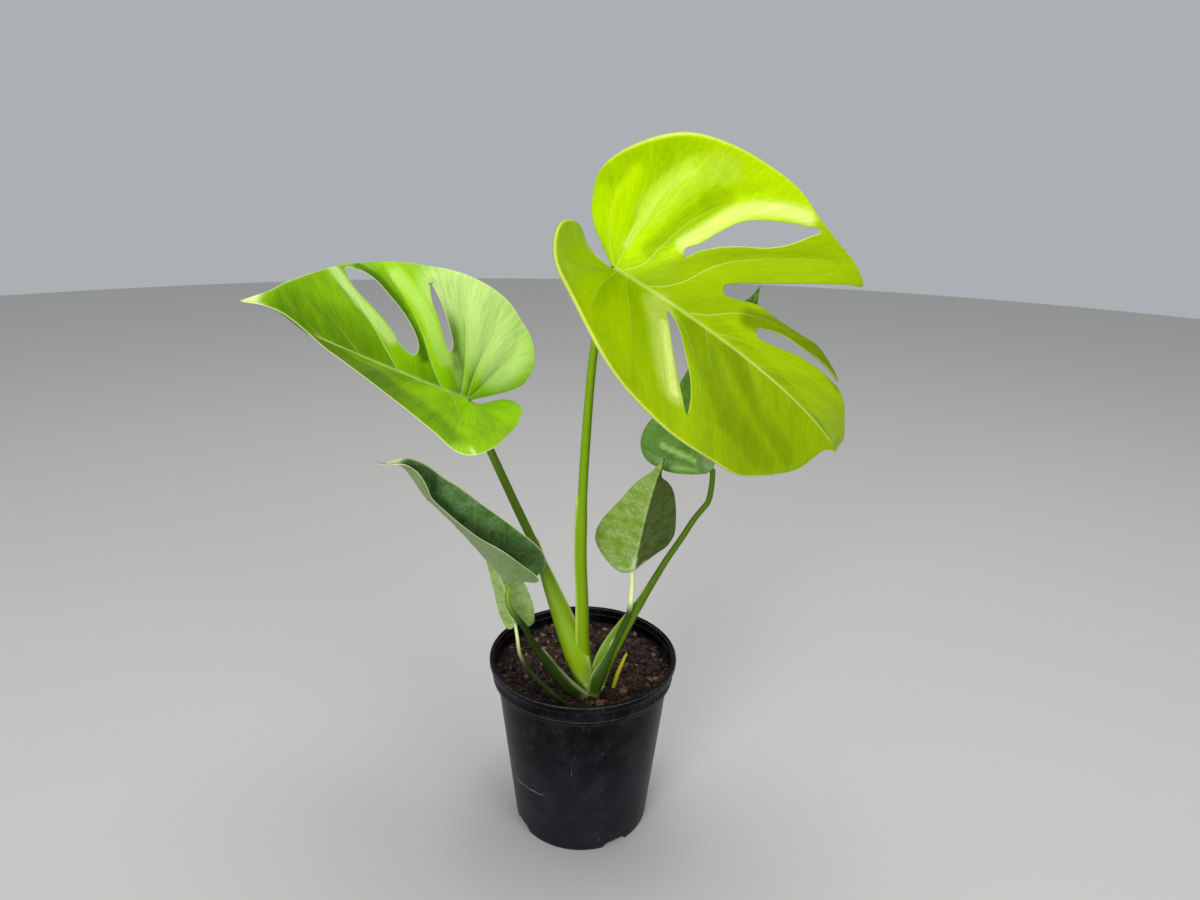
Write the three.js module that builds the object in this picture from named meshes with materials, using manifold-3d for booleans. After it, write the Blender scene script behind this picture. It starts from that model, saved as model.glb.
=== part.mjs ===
// A young split-leaf plant in a black nursery pot, in millimetres, +Z up.
// The origin is the middle of the pot's foot. +X is to the right and +Y away from the viewer.
import * as THREE from 'three';
import { mergeVertices } from 'three/addons/utils/BufferGeometryUtils.js';
import Module from 'manifold-3d';

const wasm = await Module();
wasm.setup();

// ---------------------------------------------------------------- driving dimensions

const CLEARANCE = 0.3;                  // air between pieces that touch on the real plant

const POT = {
  footRadius: 60.5,
  wallRadiusAtBand: 75.8,
  bandRadius: 80.2,
  rimRadius: 82.5,
  height: 164,
  bandBottom: 144,
  lipBottom: 157.5,
  lipRoll: 1.5,
  wall: 1.6,
  floor: 2.4,
  sides: 48,
  drains: 4,
  firstDrain: -59,                      // degrees round from +X
  drainWidth: 24,
  drainHeight: 6,
  drainDepth: 9,
};

const SOIL = {
  edgeHeight: 145,
  mound: 4,
  lump: 1.6,
  floor: 2.9,
  rings: 7,
};

const CROWN = {
  centre: [7, -34, 145],
  halfSize: [14, 10, 15],
  sides: 20,
  rings: 12,
};

const SPIKE = {
  path: [[24, -32.6, 138], [26.7, -32.6, 149], [30, -33, 163], [37.3, -32.6, 184]],
  sizes: [[0, 1.9, 1.9], [0.6, 1.7, 1.7], [1, 0.5, 0.5]],
  colour: 0x9aa51e,
};

const BACK_SHARE = 0.5;                 // how far behind the base the fold values start
const LOBE_REACH = 45;                  // how far behind the base "sweep" and "kick" are measured
const KICK_START = 8;                   // how far behind the base a kick is in full swing
const VEIN_SLANT = 0.8;                 // how far forward the side veins run, per mm across
const BLADE_STEP = 6;                   // spacing of the points along a leaf's edge
const BLADE_GRID = 14;                  // spacing of the points inside a leaf
const RIB_HALF_WIDTH = 3;               // the midrib's half width, on the leaf's underside
const RIB_HEIGHT = 1.1;
const PETIOLE_SIDES = 10;
const PETIOLE_STEP = 16;

// Each leaf has a spine, the midrib's Bezier curve from the petiole to the tip, and the direction
// its upper face looks at either end. Edges are drawn flat, in [across, along] from the spine's
// start, with the right-hand half positive as the upper face is seen with its tip up. Each half
// is folded up from the spine by "fold" degrees and bent on by "curl" degrees per 100 mm: four
// values each, from the back lobe to the tip. "sweep" moves the back lobe off the spine's line in a
// growing bend, and "kick" in a straight line. "arch" lifts the spine in a low hump between two
// shares of its length.
// A petiole's sizes are [share of its length, half width, half depth] from the crown up.
const LEAVES = {
  top_leaf: {
    spine: [[18, -1, 500], [77, -22, 470], [152, -74, 424], [176, -81, 388]],
    face: [[-0.24, -0.95, 0.17], [0.08, -0.87, 0.48]],
    right: {
      fold: [90, 49, 26, 10],
      curl: [-2, -3, -5, -3],
      sweep: [18, 1, 6],
      edge: [
        [0, 0], [1, -24], [6, -44], [22, -55], [43, -55], [63, -47], [80, -30], [99, -8], [111, 10],
        [122, 29], [130, 48], [132, 69], [129, 86], [123, 102], [110, 135], [95, 162], [85, 181],
        [70, 192], [51, 203], [34, 210], [18, 211], [7, 212], [0, 218],
      ],
    },
    left: {
      fold: [30, 1, -26, -57],
      curl: [15, 3, -7, -35],
      sweep: [8, 0, -3],
      edge: [
        [0, 0], [-10, -15], [-24, -33], [-39, -41], [-57, -43], [-71, -37], [-87, -24], [-101, -10],
        [-111, 2], [-118, 18], [-119, 40], [-118, 62], [-117, 84], [-113, 102], [-113, 118],
        [-115, 134], [-113, 146], [-104, 139], [-89, 127], [-70, 111], [-54, 96], [-42, 83],
        [-34, 77], [-30, 81], [-34, 91], [-41, 103], [-45, 120], [-52, 138], [-58, 150],
        [-61, 165], [-63, 182], [-54, 162], [-46, 147], [-41, 134], [-34, 122], [-26, 114],
        [-22, 119], [-28, 133], [-37, 146], [-46, 161], [-54, 175], [-61, 188], [-64, 204],
        [-62, 217], [-54, 224], [-40, 224], [-22, 221], [-8, 219], [0, 218],
      ],
    },
    holes: [
      [[-34, 43], [-39, 40], [-48, 47], [-62, 54], [-77, 63], [-87, 74], [-95, 85], [-103, 97],
        [-109, 106], [-98, 101], [-84, 93], [-73, 83], [-64, 71], [-53, 58], [-42, 48]],
      [[7, 56], [24, 70], [41, 85], [56, 100], [69, 114], [81, 128], [66, 121], [50, 109],
        [36, 95], [22, 80], [12, 68]],
    ],
    thickness: 0.9,
    colour: 0x9cc20a,
    petiole: {
      path: [[5, -31, 152], [0, -28, 186], [-1, -25, 223], [-3, -20, 271], [-2, -14, 317],
        [0, -9, 364], [5, -2, 434], [11, 3, 471], [18, 0, 500]],
      sizes: [[0, 6.8, 6], [0.1, 6.4, 5.6], [0.2, 5.5, 5], [0.4, 5.2, 4.6], [0.5, 4, 3.8],
        [0.75, 3.5, 3.4], [1, 3, 3]],
      colour: 0x6f9408,
    },
  },
  left_leaf: {
    spine: [[-101, 46, 380], [-151, 9, 412], [-198, -32, 445], [-241, -60, 477]],
    face: [[0.33, -0.59, 0.74], [0.26, -0.48, 0.84]],
    arch: { rise: 7.2, from: 0.73, to: 1.05 },
    right: {
      fold: [74, 24, 14, 28],
      curl: [3, -54, -35, -9],
      sweep: [2, -2, -10],
      edge: [
        [0, 0], [12, -17], [26, -30], [37, -35], [50, -34], [62, -29], [74, -18], [82, -5], [90, 8],
        [95, 22], [98, 38], [99, 52], [98, 68], [97, 84], [92, 104], [85, 118], [76, 132], [58, 151],
        [36, 166], [20, 177], [11, 184], [6, 192], [0, 203],
      ],
    },
    left: {
      fold: [72, 25, 38, 42],
      curl: [-25, -67, 1, 1],
      kick: [-9, 5.5, 20],
      edge: [
        [0, 0], [-4, -8], [-4, -20], [-3, -31], [-5, -39], [-13, -42], [-26, -41], [-48, -31],
        [-64, -15], [-86, 7], [-104, 22], [-117, 37], [-121, 52], [-114, 60], [-94, 71], [-78, 90],
        [-66, 113], [-55, 135], [-42, 155], [-28, 172], [-15, 186], [-6, 195], [0, 203],
      ],
    },
    holes: [
      [[74, 129], [60, 123], [46, 104], [33, 86], [22, 75], [18, 63], [25, 59], [35, 63],
        [49, 75], [62, 91], [72, 104], [76, 117]],
      [[83, 61], [73, 52], [57, 41], [38, 31], [32, 32], [40, 39], [54, 47], [68, 56]],
    ],
    thickness: 0.9,
    colour: 0x74ae2c,
    petiole: {
      path: [[4, -32, 152], [-6, -28, 181], [-18, -16, 209], [-30, -4, 234], [-42, 8, 260],
        [-61, 24, 294], [-84, 40, 338], [-96, 46, 362], [-101, 46, 380]],
      sizes: [[0, 9, 8], [0.1, 10.5, 8], [0.22, 9.5, 7], [0.32, 7, 5.5], [0.42, 4, 3.8],
        [0.6, 3.8, 3.7], [0.85, 3.6, 3.5], [1, 3, 3]],
      colour: 0x5c7d1e,
    },
  },
  low_leaf: {
    spine: [[-59, -45, 253], [-81, -59, 288], [-112, -42, 323], [-152, -68, 363]],
    face: [[0.21, -0.23, 0.95], [0.34, -0.48, 0.81]],
    arch: { rise: 10.5, from: 0.66, to: 1 },
    right: {
      fold: [70, 82, 78, 55],
      curl: [8, 16, 15, 5],
      edge: [
        [0, 0], [10, -8], [22, -11], [31, -8], [37, 5], [39, 20], [38, 34], [35, 50], [30, 69],
        [27, 84], [23, 99], [17, 110], [10, 120], [5, 130], [2, 140], [0, 150],
      ],
    },
    left: {
      fold: [75, 54, 49, 66],
      curl: [4, -8, -13, 0],
      edge: [
        [0, 0], [-6, 0], [-15, 3], [-26, -2], [-36, 7], [-45, 25], [-49, 43], [-33, 60],
        [-19, 78], [-14, 92], [-16, 101], [-22, 108], [-22, 115], [-15, 123], [-8, 132], [-3, 142],
        [0, 150],
      ],
    },
    holes: [],
    thickness: 0.9,
    colour: 0x43703c,
    petiole: {
      path: [[4, -42, 146], [-8, -44.5, 155.5], [-19, -45, 168], [-28, -45, 180.5], [-40, -48, 200],
        [-47, -50, 217], [-56.6, -52, 232], [-60.3, -50, 243], [-59, -45, 253]],
      sizes: [[0, 6, 5], [0.12, 6.8, 5.5], [0.25, 5.6, 5], [0.4, 4, 3.6], [0.6, 2.8, 2.6],
        [1, 2.2, 2.1]],
      colour: 0x3f6a24,
    },
  },
  small_leaf: {
    spine: [[-55, -46, 219], [-61, -42, 244], [-72, -33, 267], [-88, -22, 289]],
    face: [[-0.2, 0.95, 0.2], [-0.2, 0.93, 0.3]],
    right: {
      fold: [26, 26, 26, 26],
      curl: [-5, -5, -5, -5],
      edge: [
        [0, 0], [3, -5], [8, -5], [11, 2], [12, 13], [11, 26], [9, 40], [6, 56], [2, 70], [0, 81],
      ],
    },
    left: {
      fold: [30, 30, 30, 30],
      curl: [-5, -5, -5, -5],
      edge: [
        [0, 0], [-4, -4], [-10, -8], [-16, -7], [-19, 2], [-19, 15], [-17, 30], [-14, 44],
        [-9, 58], [-4, 70], [0, 81],
      ],
    },
    holes: [],
    thickness: 0.8,
    colour: 0x7f9c58,
    petiole: {
      path: [[-4, -60, 144], [-13.5, -60, 151.5], [-25, -59, 162], [-38, -57, 176], [-46, -54.5, 184],
        [-51, -52, 194], [-53, -49, 206], [-55, -46, 219]],
      sizes: [[0, 2.8, 2.4], [0.3, 2.4, 2.2], [0.55, 1.7, 1.7], [1, 1.5, 1.5]],
      colour: 0x9fb668,
    },
  },
  upright_leaf: {
    spine: [[41, -7, 248], [47, -15, 284], [51, -5, 312], [64, -11, 352]],
    face: [[-0.09, 0.99, 0.14], [-0.05, 0.99, 0.15]],
    right: {
      fold: [33, 33, 35, 35],
      curl: [-2, -2, 0, 0],
      edge: [
        [0, 0], [5, -5], [13, -7], [23, -3], [33, 5], [39, 14], [40, 25], [37, 36], [32, 46],
        [24, 60], [16, 76], [7, 89], [4, 95], [0, 108],
      ],
    },
    left: {
      fold: [42, 37, 41, 49],
      curl: [-5, -9, -5, 0],
      edge: [
        [0, 0], [-4, 0], [-15, 4], [-28, 9], [-39, 13], [-45, 25], [-43, 42], [-37, 60], [-29, 73],
        [-17, 82], [-7, 87], [-3, 94], [0, 108],
      ],
    },
    holes: [],
    thickness: 0.8,
    colour: 0x5f8838,
    petiole: {
      path: [[9, -43, 148], [13, -44.5, 167], [20, -41, 181], [25, -37.5, 191], [32, -32, 204],
        [38.5, -25, 218], [40.5, -17, 231], [41, -7, 248]],
      sizes: [[0, 5.5, 4.5], [0.18, 6.5, 5], [0.28, 4.6, 3.8], [0.38, 2.9, 2.6], [0.75, 2.3, 2.2],
        [1, 2, 2]],
      colour: 0xb4cd7c,
    },
  },
  rear_leaf: {
    spine: [[106, 10, 336], [108, 24, 373], [120, 26, 437], [132, 5, 485]],
    face: [[-0.25, -0.95, 0.15], [-0.1, -0.98, 0.2]],
    right: {
      fold: [118, 100, 70, 45],
      curl: [0, -20, -20, -10],
      edge: [
        [0, 0], [8, -3], [20, -6], [33, -4], [44, 8], [50, 28], [50, 52], [43, 78], [32, 102],
        [19, 122], [8, 138], [2, 149], [0, 158],
      ],
    },
    left: {
      fold: [5, 12, 25, 30],
      curl: [-10, -10, -10, -10],
      edge: [
        [0, 0], [-6, -5], [-22, -7], [-37, -6], [-48, -2], [-57, 3], [-62, 11], [-62, 19],
        [-58, 29], [-50, 39], [-42, 52], [-38, 68], [-33, 84], [-27, 102], [-20, 120], [-11, 138],
        [-3, 149], [0, 158],
      ],
    },
    holes: [],
    thickness: 0.9,
    colour: 0x4b7a28,
    petiole: {
      path: [[11, -31, 150], [20.4, -30, 180], [30.4, -25, 197], [40.3, -19, 211], [49, -13, 222.5],
        [59.5, -8, 240], [70.5, -3, 258], [82.5, 2, 275.5], [92.4, 6, 291], [99.2, 8, 299.5],
        [103.7, 9, 306], [106, 10, 320], [106, 10, 336]],
      sizes: [[0, 8, 5.5], [0.12, 8.2, 5.2], [0.2, 7.6, 5], [0.27, 6.2, 4.6], [0.34, 4.6, 4],
        [0.42, 3.3, 3.2], [0.6, 2.7, 2.7], [1, 2.6, 2.6]],
      colour: 0x587f2a,
    },
  },
};

// ---------------------------------------------------------------- solids

function solidFrom(geometry) {
  geometry.deleteAttribute('normal');
  geometry.deleteAttribute('uv');
  const merged = mergeVertices(geometry, 1e-4);
  return new wasm.Manifold(new wasm.Mesh({
    numProp: 3,
    vertProperties: new Float32Array(merged.attributes.position.array),
    triVerts: new Uint32Array(merged.index.array),
  }));
}

// Cutting can leave a loose scrap, so only the largest body is kept.
function largestBody(solid) {
  const bodies = solid.decompose();
  bodies.sort((a, b) => b.volume() - a.volume());
  return bodies[0];
}

function meshFrom(solid, name, colour, roughness) {
  const data = solid.getMesh();
  const geometry = new THREE.BufferGeometry();
  geometry.setAttribute('position', new THREE.BufferAttribute(data.vertProperties, 3));
  geometry.setIndex(new THREE.BufferAttribute(data.triVerts, 1));
  geometry.computeVertexNormals();
  const material = new THREE.MeshStandardMaterial({ color: colour, roughness, metalness: 0 });
  const mesh = new THREE.Mesh(geometry, material);
  mesh.name = name;
  return mesh;
}

// ---------------------------------------------------------------- leaf blades

const vector = (values) => new THREE.Vector3(...values);

// Four values blended along the leaf, as a cubic Bezier in one variable.
function blend(values, share) {
  const rest = 1 - share;
  return values[0] * rest ** 3 + 3 * values[1] * share * rest ** 2
    + 3 * values[2] * share ** 2 * rest + values[3] * share ** 3;
}

// The spine's point and its three directions at a distance along the midrib.
function spineFrame(leaf, along) {
  const share = along / leaf.length;
  const inside = THREE.MathUtils.clamp(share, 0, 1);
  const point = leaf.curve.getPointAt(inside);
  const tangent = leaf.curve.getTangentAt(inside);
  point.addScaledVector(tangent, along - inside * leaf.length);
  if (leaf.arch) {
    const { rise, from, to } = leaf.arch;
    point.z += rise * Math.sin(Math.PI * THREE.MathUtils.clamp((share - from) / (to - from), 0, 1)) ** 2;
  }
  const face = vector(leaf.face[0]).normalize().lerp(vector(leaf.face[1]).normalize(), inside);
  face.addScaledVector(tangent, -face.dot(tangent)).normalize();
  const side = new THREE.Vector3().crossVectors(tangent, face);
  return { point, tangent, face, side };
}

// A flat point of the blade, bent to its place in space.
function bladePoint(leaf, across, along, sign = Math.sign(across) || 1) {
  const half = sign > 0 ? leaf.right : leaf.left;
  const width = Math.abs(across);
  const frame = spineFrame(leaf, along);
  const root = (along - VEIN_SLANT * width) / leaf.length;
  const share = THREE.MathUtils.clamp((root + BACK_SHARE) / (1 + BACK_SHARE), 0, 1);
  const fold = THREE.MathUtils.degToRad(blend(half.fold, share));
  const curl = THREE.MathUtils.degToRad(blend(half.curl, share)) / 100;
  const halfTurn = curl * width / 2;
  const chord = Math.abs(halfTurn) < 1e-9 ? width : width * Math.sin(halfTurn) / halfTurn;
  const point = frame.point;
  if (along < 0) {
    const behind = Math.hypot(along, KICK_START) - KICK_START;
    point.addScaledVector(vector(half.sweep ?? [0, 0, 0]), (along / LOBE_REACH) ** 2);
    point.addScaledVector(vector(half.kick ?? [0, 0, 0]), behind / LOBE_REACH);
  }
  point.addScaledVector(frame.side, sign * chord * Math.cos(fold + halfTurn));
  point.addScaledVector(frame.face, chord * Math.sin(fold + halfTurn));
  return point;
}

function halfNormal(leaf, across, along, sign) {
  const reach = 0.5;
  const inner = Math.max(Math.abs(across) - reach, 0) * sign;
  const outer = (Math.abs(across) + reach) * sign;
  const acrossStep = bladePoint(leaf, outer, along, sign).sub(bladePoint(leaf, inner, along, sign));
  const alongStep = bladePoint(leaf, across, along + reach, sign)
    .sub(bladePoint(leaf, across, along - reach, sign));
  return acrossStep.cross(alongStep).multiplyScalar(sign).normalize();
}

// On the spine the two halves meet at an angle, so the offset there is mitred.
function bladeNormal(leaf, across, along) {
  if (Math.abs(across) > 0.01) return halfNormal(leaf, across, along, Math.sign(across));
  const right = halfNormal(leaf, 0, along, 1);
  const left = halfNormal(leaf, 0, along, -1);
  const mitre = 1 + Math.max(right.dot(left), -0.4);
  return right.add(left).divideScalar(mitre);
}

function smoothOutline(points, closed) {
  const curve = new THREE.CatmullRomCurve3(
    points.map(([x, y]) => new THREE.Vector3(x, y, 0)), closed, 'centripetal',
  );
  const steps = Math.max(4, Math.round(curve.getLength() / BLADE_STEP));
  const samples = curve.getSpacedPoints(steps).slice(0, steps);
  return samples.map((p) => new THREE.Vector2(p.x, p.y));
}

// The whole outline runs up the right half to the tip and back down the left half.
function bladeOutline(leaf) {
  const down = leaf.left.edge.slice().reverse();
  return smoothOutline(leaf.right.edge, false).concat(smoothOutline(down, false));
}

function isWithin(edge, x, y) {
  let inside = false;
  edge.forEach((a, i) => {
    const b = edge[(i + 1) % edge.length];
    const crosses = (a.y > y) !== (b.y > y);
    if (crosses && x < a.x + (b.x - a.x) * (y - a.y) / (b.y - a.y)) inside = !inside;
  });
  return inside;
}

function distanceTo(edge, x, y) {
  return Math.min(...edge.map((a, i) => {
    const b = edge[(i + 1) % edge.length];
    const [runX, runY] = [b.x - a.x, b.y - a.y];
    const share = ((x - a.x) * runX + (y - a.y) * runY) / (runX * runX + runY * runY);
    const near = THREE.MathUtils.clamp(share, 0, 1);
    return Math.hypot(a.x + near * runX - x, a.y + near * runY - y);
  }));
}

// Points down the midrib and its two flanks, then staggered rows over each half.
function innerPoints(leaf, outline, holes) {
  const points = [];
  const tryPoint = (x, y, gap) => {
    if (!isWithin(outline, x, y) || holes.some((hole) => isWithin(hole, x, y))) return;
    if ([outline, ...holes].some((edge) => distanceTo(edge, x, y) < gap)) return;
    points.push(new THREE.Vector2(x, y));
  };
  for (let along = BLADE_STEP; along < leaf.length; along += BLADE_GRID * 0.6) {
    [-RIB_HALF_WIDTH, 0, RIB_HALF_WIDTH].forEach((across) => tryPoint(across, along, 1.5));
  }
  const rows = BLADE_GRID * Math.sqrt(3) / 2;
  const reach = Math.max(...outline.map((p) => Math.abs(p.x)));
  for (let row = 0, along = -60; along < leaf.length + 10; along += rows, row += 1) {
    for (let across = BLADE_GRID * (row % 2 ? 0.8 : 1.3); across < reach; across += BLADE_GRID) {
      tryPoint(across, along, BLADE_GRID * 0.4);
      tryPoint(-across, along, BLADE_GRID * 0.4);
    }
  }
  return points;
}

const cross = (a, b, c) => (b.x - a.x) * (c.y - a.y) - (b.y - a.y) * (c.x - a.x);

// How far inside the circle through a, b and c the point d lies: above 0 asks for a flip.
function circleTest(a, b, c, d) {
  const rows = [a, b, c].map((p) => {
    const x = p.x - d.x;
    const y = p.y - d.y;
    return [x, y, x * x + y * y];
  });
  return new THREE.Matrix3().set(...rows[0], ...rows[1], ...rows[2]).determinant();
}

// Swaps the shared side of two triangles wherever that makes them less thin.
function evenOut(points, triangles) {
  for (let pass = 0; pass < 40; pass += 1) {
    const sides = new Map();
    let flips = 0;
    triangles.forEach((triangle, index) => {
      triangle.forEach((from, corner) => sides.set(`${from},${triangle[(corner + 1) % 3]}`, index));
    });
    const touched = new Set();
    triangles.forEach((triangle, index) => {
      for (let corner = 0; corner < 3 && !touched.has(index); corner += 1) {
        const [a, b, c] = [0, 1, 2].map((k) => triangle[(corner + k) % 3]);
        const other = sides.get(`${b},${a}`);
        if (other === undefined || touched.has(other)) continue;
        const d = triangles[other].find((k) => k !== a && k !== b);
        const convex = cross(points[c], points[a], points[d]) > 1e-6
          && cross(points[d], points[b], points[c]) > 1e-6;
        if (!convex || circleTest(points[a], points[b], points[c], points[d]) <= 1e-6) continue;
        triangles[index] = [a, d, c];
        triangles[other] = [d, b, c];
        touched.add(index);
        touched.add(other);
        flips += 1;
      }
    });
    if (flips === 0) return;
  }
}

// The blade is one sheet of triangles, repeated on both faces and closed by a wall round its edges.
function bladeGeometry(leaf) {
  const outline = bladeOutline(leaf);
  const holes = leaf.holes.map((hole) => smoothOutline(hole, true));
  const inner = innerPoints(leaf, outline, holes);
  const points = [...outline, ...holes.flat(), ...inner];
  const triangles = THREE.ShapeUtils.triangulateShape(outline, holes)
    .map(([a, b, c]) => (cross(points[a], points[b], points[c]) > 0 ? [a, b, c] : [a, c, b]));
  evenOut(points, triangles);
  inner.forEach((p, i) => {
    const at = points.length - inner.length + i;
    const host = triangles.findIndex((corners) => corners.every(
      (corner, k) => cross(points[corner], points[corners[(k + 1) % 3]], p) >= 0,
    ));
    const [a, b, c] = triangles[host];
    triangles.splice(host, 1, [a, b, at], [b, c, at], [c, a, at]);
    evenOut(points, triangles);
  });

  const positions = [];
  points.forEach((p) => {
    const middle = bladePoint(leaf, p.x, p.y);
    const normal = bladeNormal(leaf, p.x, p.y);
    const rib = Math.abs(p.x) < 0.01 && p.y > 0 ? RIB_HEIGHT * (1 - 0.8 * p.y / leaf.length) : 0;
    positions.push(...middle.clone().addScaledVector(normal, leaf.thickness / 2).toArray());
    positions.push(...middle.addScaledVector(normal, -leaf.thickness / 2 - rib).toArray());
  });
  const sides = new Set();
  triangles.forEach(([a, b, c]) => [[a, b], [b, c], [c, a]].forEach(([p, q]) => sides.add(`${p},${q}`)));
  const index = [];
  triangles.forEach(([a, b, c]) => {
    index.push(2 * a, 2 * b, 2 * c, 2 * a + 1, 2 * c + 1, 2 * b + 1);
    [[a, b], [b, c], [c, a]].forEach(([p, q]) => {
      if (sides.has(`${q},${p}`)) return;
      index.push(2 * p, 2 * p + 1, 2 * q + 1, 2 * p, 2 * q + 1, 2 * q);
    });
  });
  const geometry = new THREE.BufferGeometry();
  geometry.setAttribute('position', new THREE.Float32BufferAttribute(positions, 3));
  geometry.setIndex(index);
  return geometry;
}

// The space the petiole has to stay out of: the blade's base, moved a little in eight directions.
function bladeRoom(leaf, geometry) {
  const near = new THREE.BoxGeometry(40, 40, 40).translate(...leaf.spine[0]);
  const base = new THREE.BufferGeometry();
  const part = solidFrom(geometry.clone()).intersect(solidFrom(near)).getMesh();
  base.setAttribute('position', new THREE.BufferAttribute(part.vertProperties, 3));
  base.setIndex(new THREE.BufferAttribute(part.triVerts, 1));
  const signs = [-CLEARANCE, CLEARANCE];
  return signs.flatMap((x) => signs.flatMap((y) => signs.map((z) => [x, y, z])))
    .map((move) => solidFrom(base.clone().translate(...move)))
    .reduce((room, copy) => room.add(copy));
}

// ---------------------------------------------------------------- petioles and spike

// A stem of changing width: a straight cylinder's rings laid along a curve.
function stemSolid(path, sizes, grow = 0) {
  const curve = new THREE.CatmullRomCurve3(path.map(vector), false, 'centripetal');
  const steps = Math.ceil(curve.getLength() / PETIOLE_STEP);
  const geometry = new THREE.CylinderGeometry(1, 1, 1, PETIOLE_SIDES, steps);
  const position = geometry.attributes.position;
  const depthAxis = new THREE.Vector3(0, 1, 0);
  for (let i = 0; i < position.count; i += 1) {
    const share = THREE.MathUtils.clamp(position.getY(i) + 0.5, 0, 1);
    const tangent = curve.getTangentAt(share);
    const depthDirection = depthAxis.clone().addScaledVector(tangent, -depthAxis.dot(tangent)).normalize();
    const widthDirection = new THREE.Vector3().crossVectors(depthDirection, tangent);
    const next = Math.max(1, sizes.findIndex((size) => size[0] >= share));
    const [from, to] = [sizes[next - 1], sizes[next]];
    const mix = THREE.MathUtils.clamp((share - from[0]) / (to[0] - from[0]), 0, 1);
    const width = THREE.MathUtils.lerp(from[1], to[1], mix) + grow;
    const depth = THREE.MathUtils.lerp(from[2], to[2], mix) + grow;
    const point = curve.getPointAt(share);
    point.addScaledVector(widthDirection, position.getX(i) * width);
    point.addScaledVector(depthDirection, -position.getZ(i) * depth);
    point.addScaledVector(tangent, share < 0.5 ? -grow : grow);
    position.setXYZ(i, point.x, point.y, point.z);
  }
  return solidFrom(geometry);
}

// ---------------------------------------------------------------- crown, soil and pot

// The short thick stem that all the petioles stand on.
function crownSolid(grow = 0) {
  const geometry = new THREE.SphereGeometry(1, CROWN.sides, CROWN.rings);
  geometry.rotateX(Math.PI / 2);
  geometry.scale(...CROWN.halfSize.map((half) => half + grow));
  geometry.translate(...CROWN.centre);
  return solidFrom(geometry);
}

// A profile of [radius, height] points, turned round the pot's axis.
function turned(profile) {
  const points = profile.map(([radius, height]) => new THREE.Vector2(radius, height));
  return new THREE.LatheGeometry(points, POT.sides).rotateX(Math.PI / 2);
}

const wallRadius = (height) => THREE.MathUtils.mapLinear(
  height, 0, POT.bandBottom, POT.footRadius, POT.wallRadiusAtBand,
);

// The tapered wall, the deeper band round the mouth and the rolled lip on it.
function potSolid() {
  const innerBand = POT.bandRadius - POT.wall;
  let pot = solidFrom(turned([
    [0, 0],
    [POT.footRadius, 0],
    [wallRadius(POT.bandBottom - 1), POT.bandBottom - 1],
    [POT.bandRadius - 0.6, POT.bandBottom],
    [POT.bandRadius, POT.lipBottom - 0.4],
    [POT.rimRadius - 0.5, POT.lipBottom],
    [POT.rimRadius, POT.lipBottom + POT.lipRoll],
    [POT.rimRadius, POT.height - POT.lipRoll],
    [POT.rimRadius - POT.lipRoll, POT.height],
    [innerBand, POT.height],
    [innerBand - 0.6, POT.bandBottom + 1],
    [wallRadius(POT.bandBottom - 2) - POT.wall, POT.bandBottom - 2],
    [wallRadius(POT.floor) - POT.wall, POT.floor],
    [0, POT.floor],
  ]));
  for (let drain = 0; drain < POT.drains; drain += 1) {
    const opening = new THREE.BoxGeometry(POT.drainDepth, POT.drainWidth, 2 * POT.drainHeight);
    opening.translate(POT.footRadius, 0, 0);
    opening.rotateZ(THREE.MathUtils.degToRad(POT.firstDrain + drain * 360 / POT.drains));
    pot = pot.subtract(solidFrom(opening));
  }
  return pot;
}

// Waves of three lengths, whose sum looks lumpy.
const lumpAt = (x, y) => (
  Math.sin(x * 0.21 + y * 0.13) + Math.sin(y * 0.27 - x * 0.08) + Math.sin(x * 0.4) / 2
) / 2;

// The mix fills the pot to below its lip and rises to a low, lumpy mound.
function soilSolid() {
  const inset = POT.wall + CLEARANCE;
  const edge = POT.bandRadius - 0.6 - inset;
  const profile = [
    [0, SOIL.floor],
    [wallRadius(SOIL.floor) - inset, SOIL.floor],
    [wallRadius(POT.bandBottom - 2) - inset, POT.bandBottom - 1.5],
    [edge - 0.6, SOIL.edgeHeight + 0.6],
  ];
  for (let ring = SOIL.rings; ring >= 0; ring -= 1) {
    const share = ring / (SOIL.rings + 1);
    const rise = 1 + SOIL.mound * Math.cos(share * Math.PI / 2);
    profile.push([edge * share * 1.03, SOIL.edgeHeight + rise]);
  }
  const geometry = turned(profile);
  const position = geometry.attributes.position;
  for (let i = 0; i < position.count; i += 1) {
    const [x, y, z] = [position.getX(i), position.getY(i), position.getZ(i)];
    if (z > SOIL.edgeHeight + 0.9) position.setZ(i, z + SOIL.lump * lumpAt(x, y));
  }
  return solidFrom(geometry);
}

// ---------------------------------------------------------------- assembly

const plant = new THREE.Group();
const crown = crownSolid();
const crownRoom = crownSolid(CLEARANCE);
const spikeRoom = stemSolid(SPIKE.path, SPIKE.sizes, CLEARANCE);

plant.add(meshFrom(potSolid(), 'nursery_pot', 0x18171c, 0.55));
plant.add(meshFrom(crown, 'crown', 0x859a3c, 0.6));
plant.add(meshFrom(stemSolid(SPIKE.path, SPIKE.sizes), 'new_shoot', SPIKE.colour, 0.5));

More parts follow.
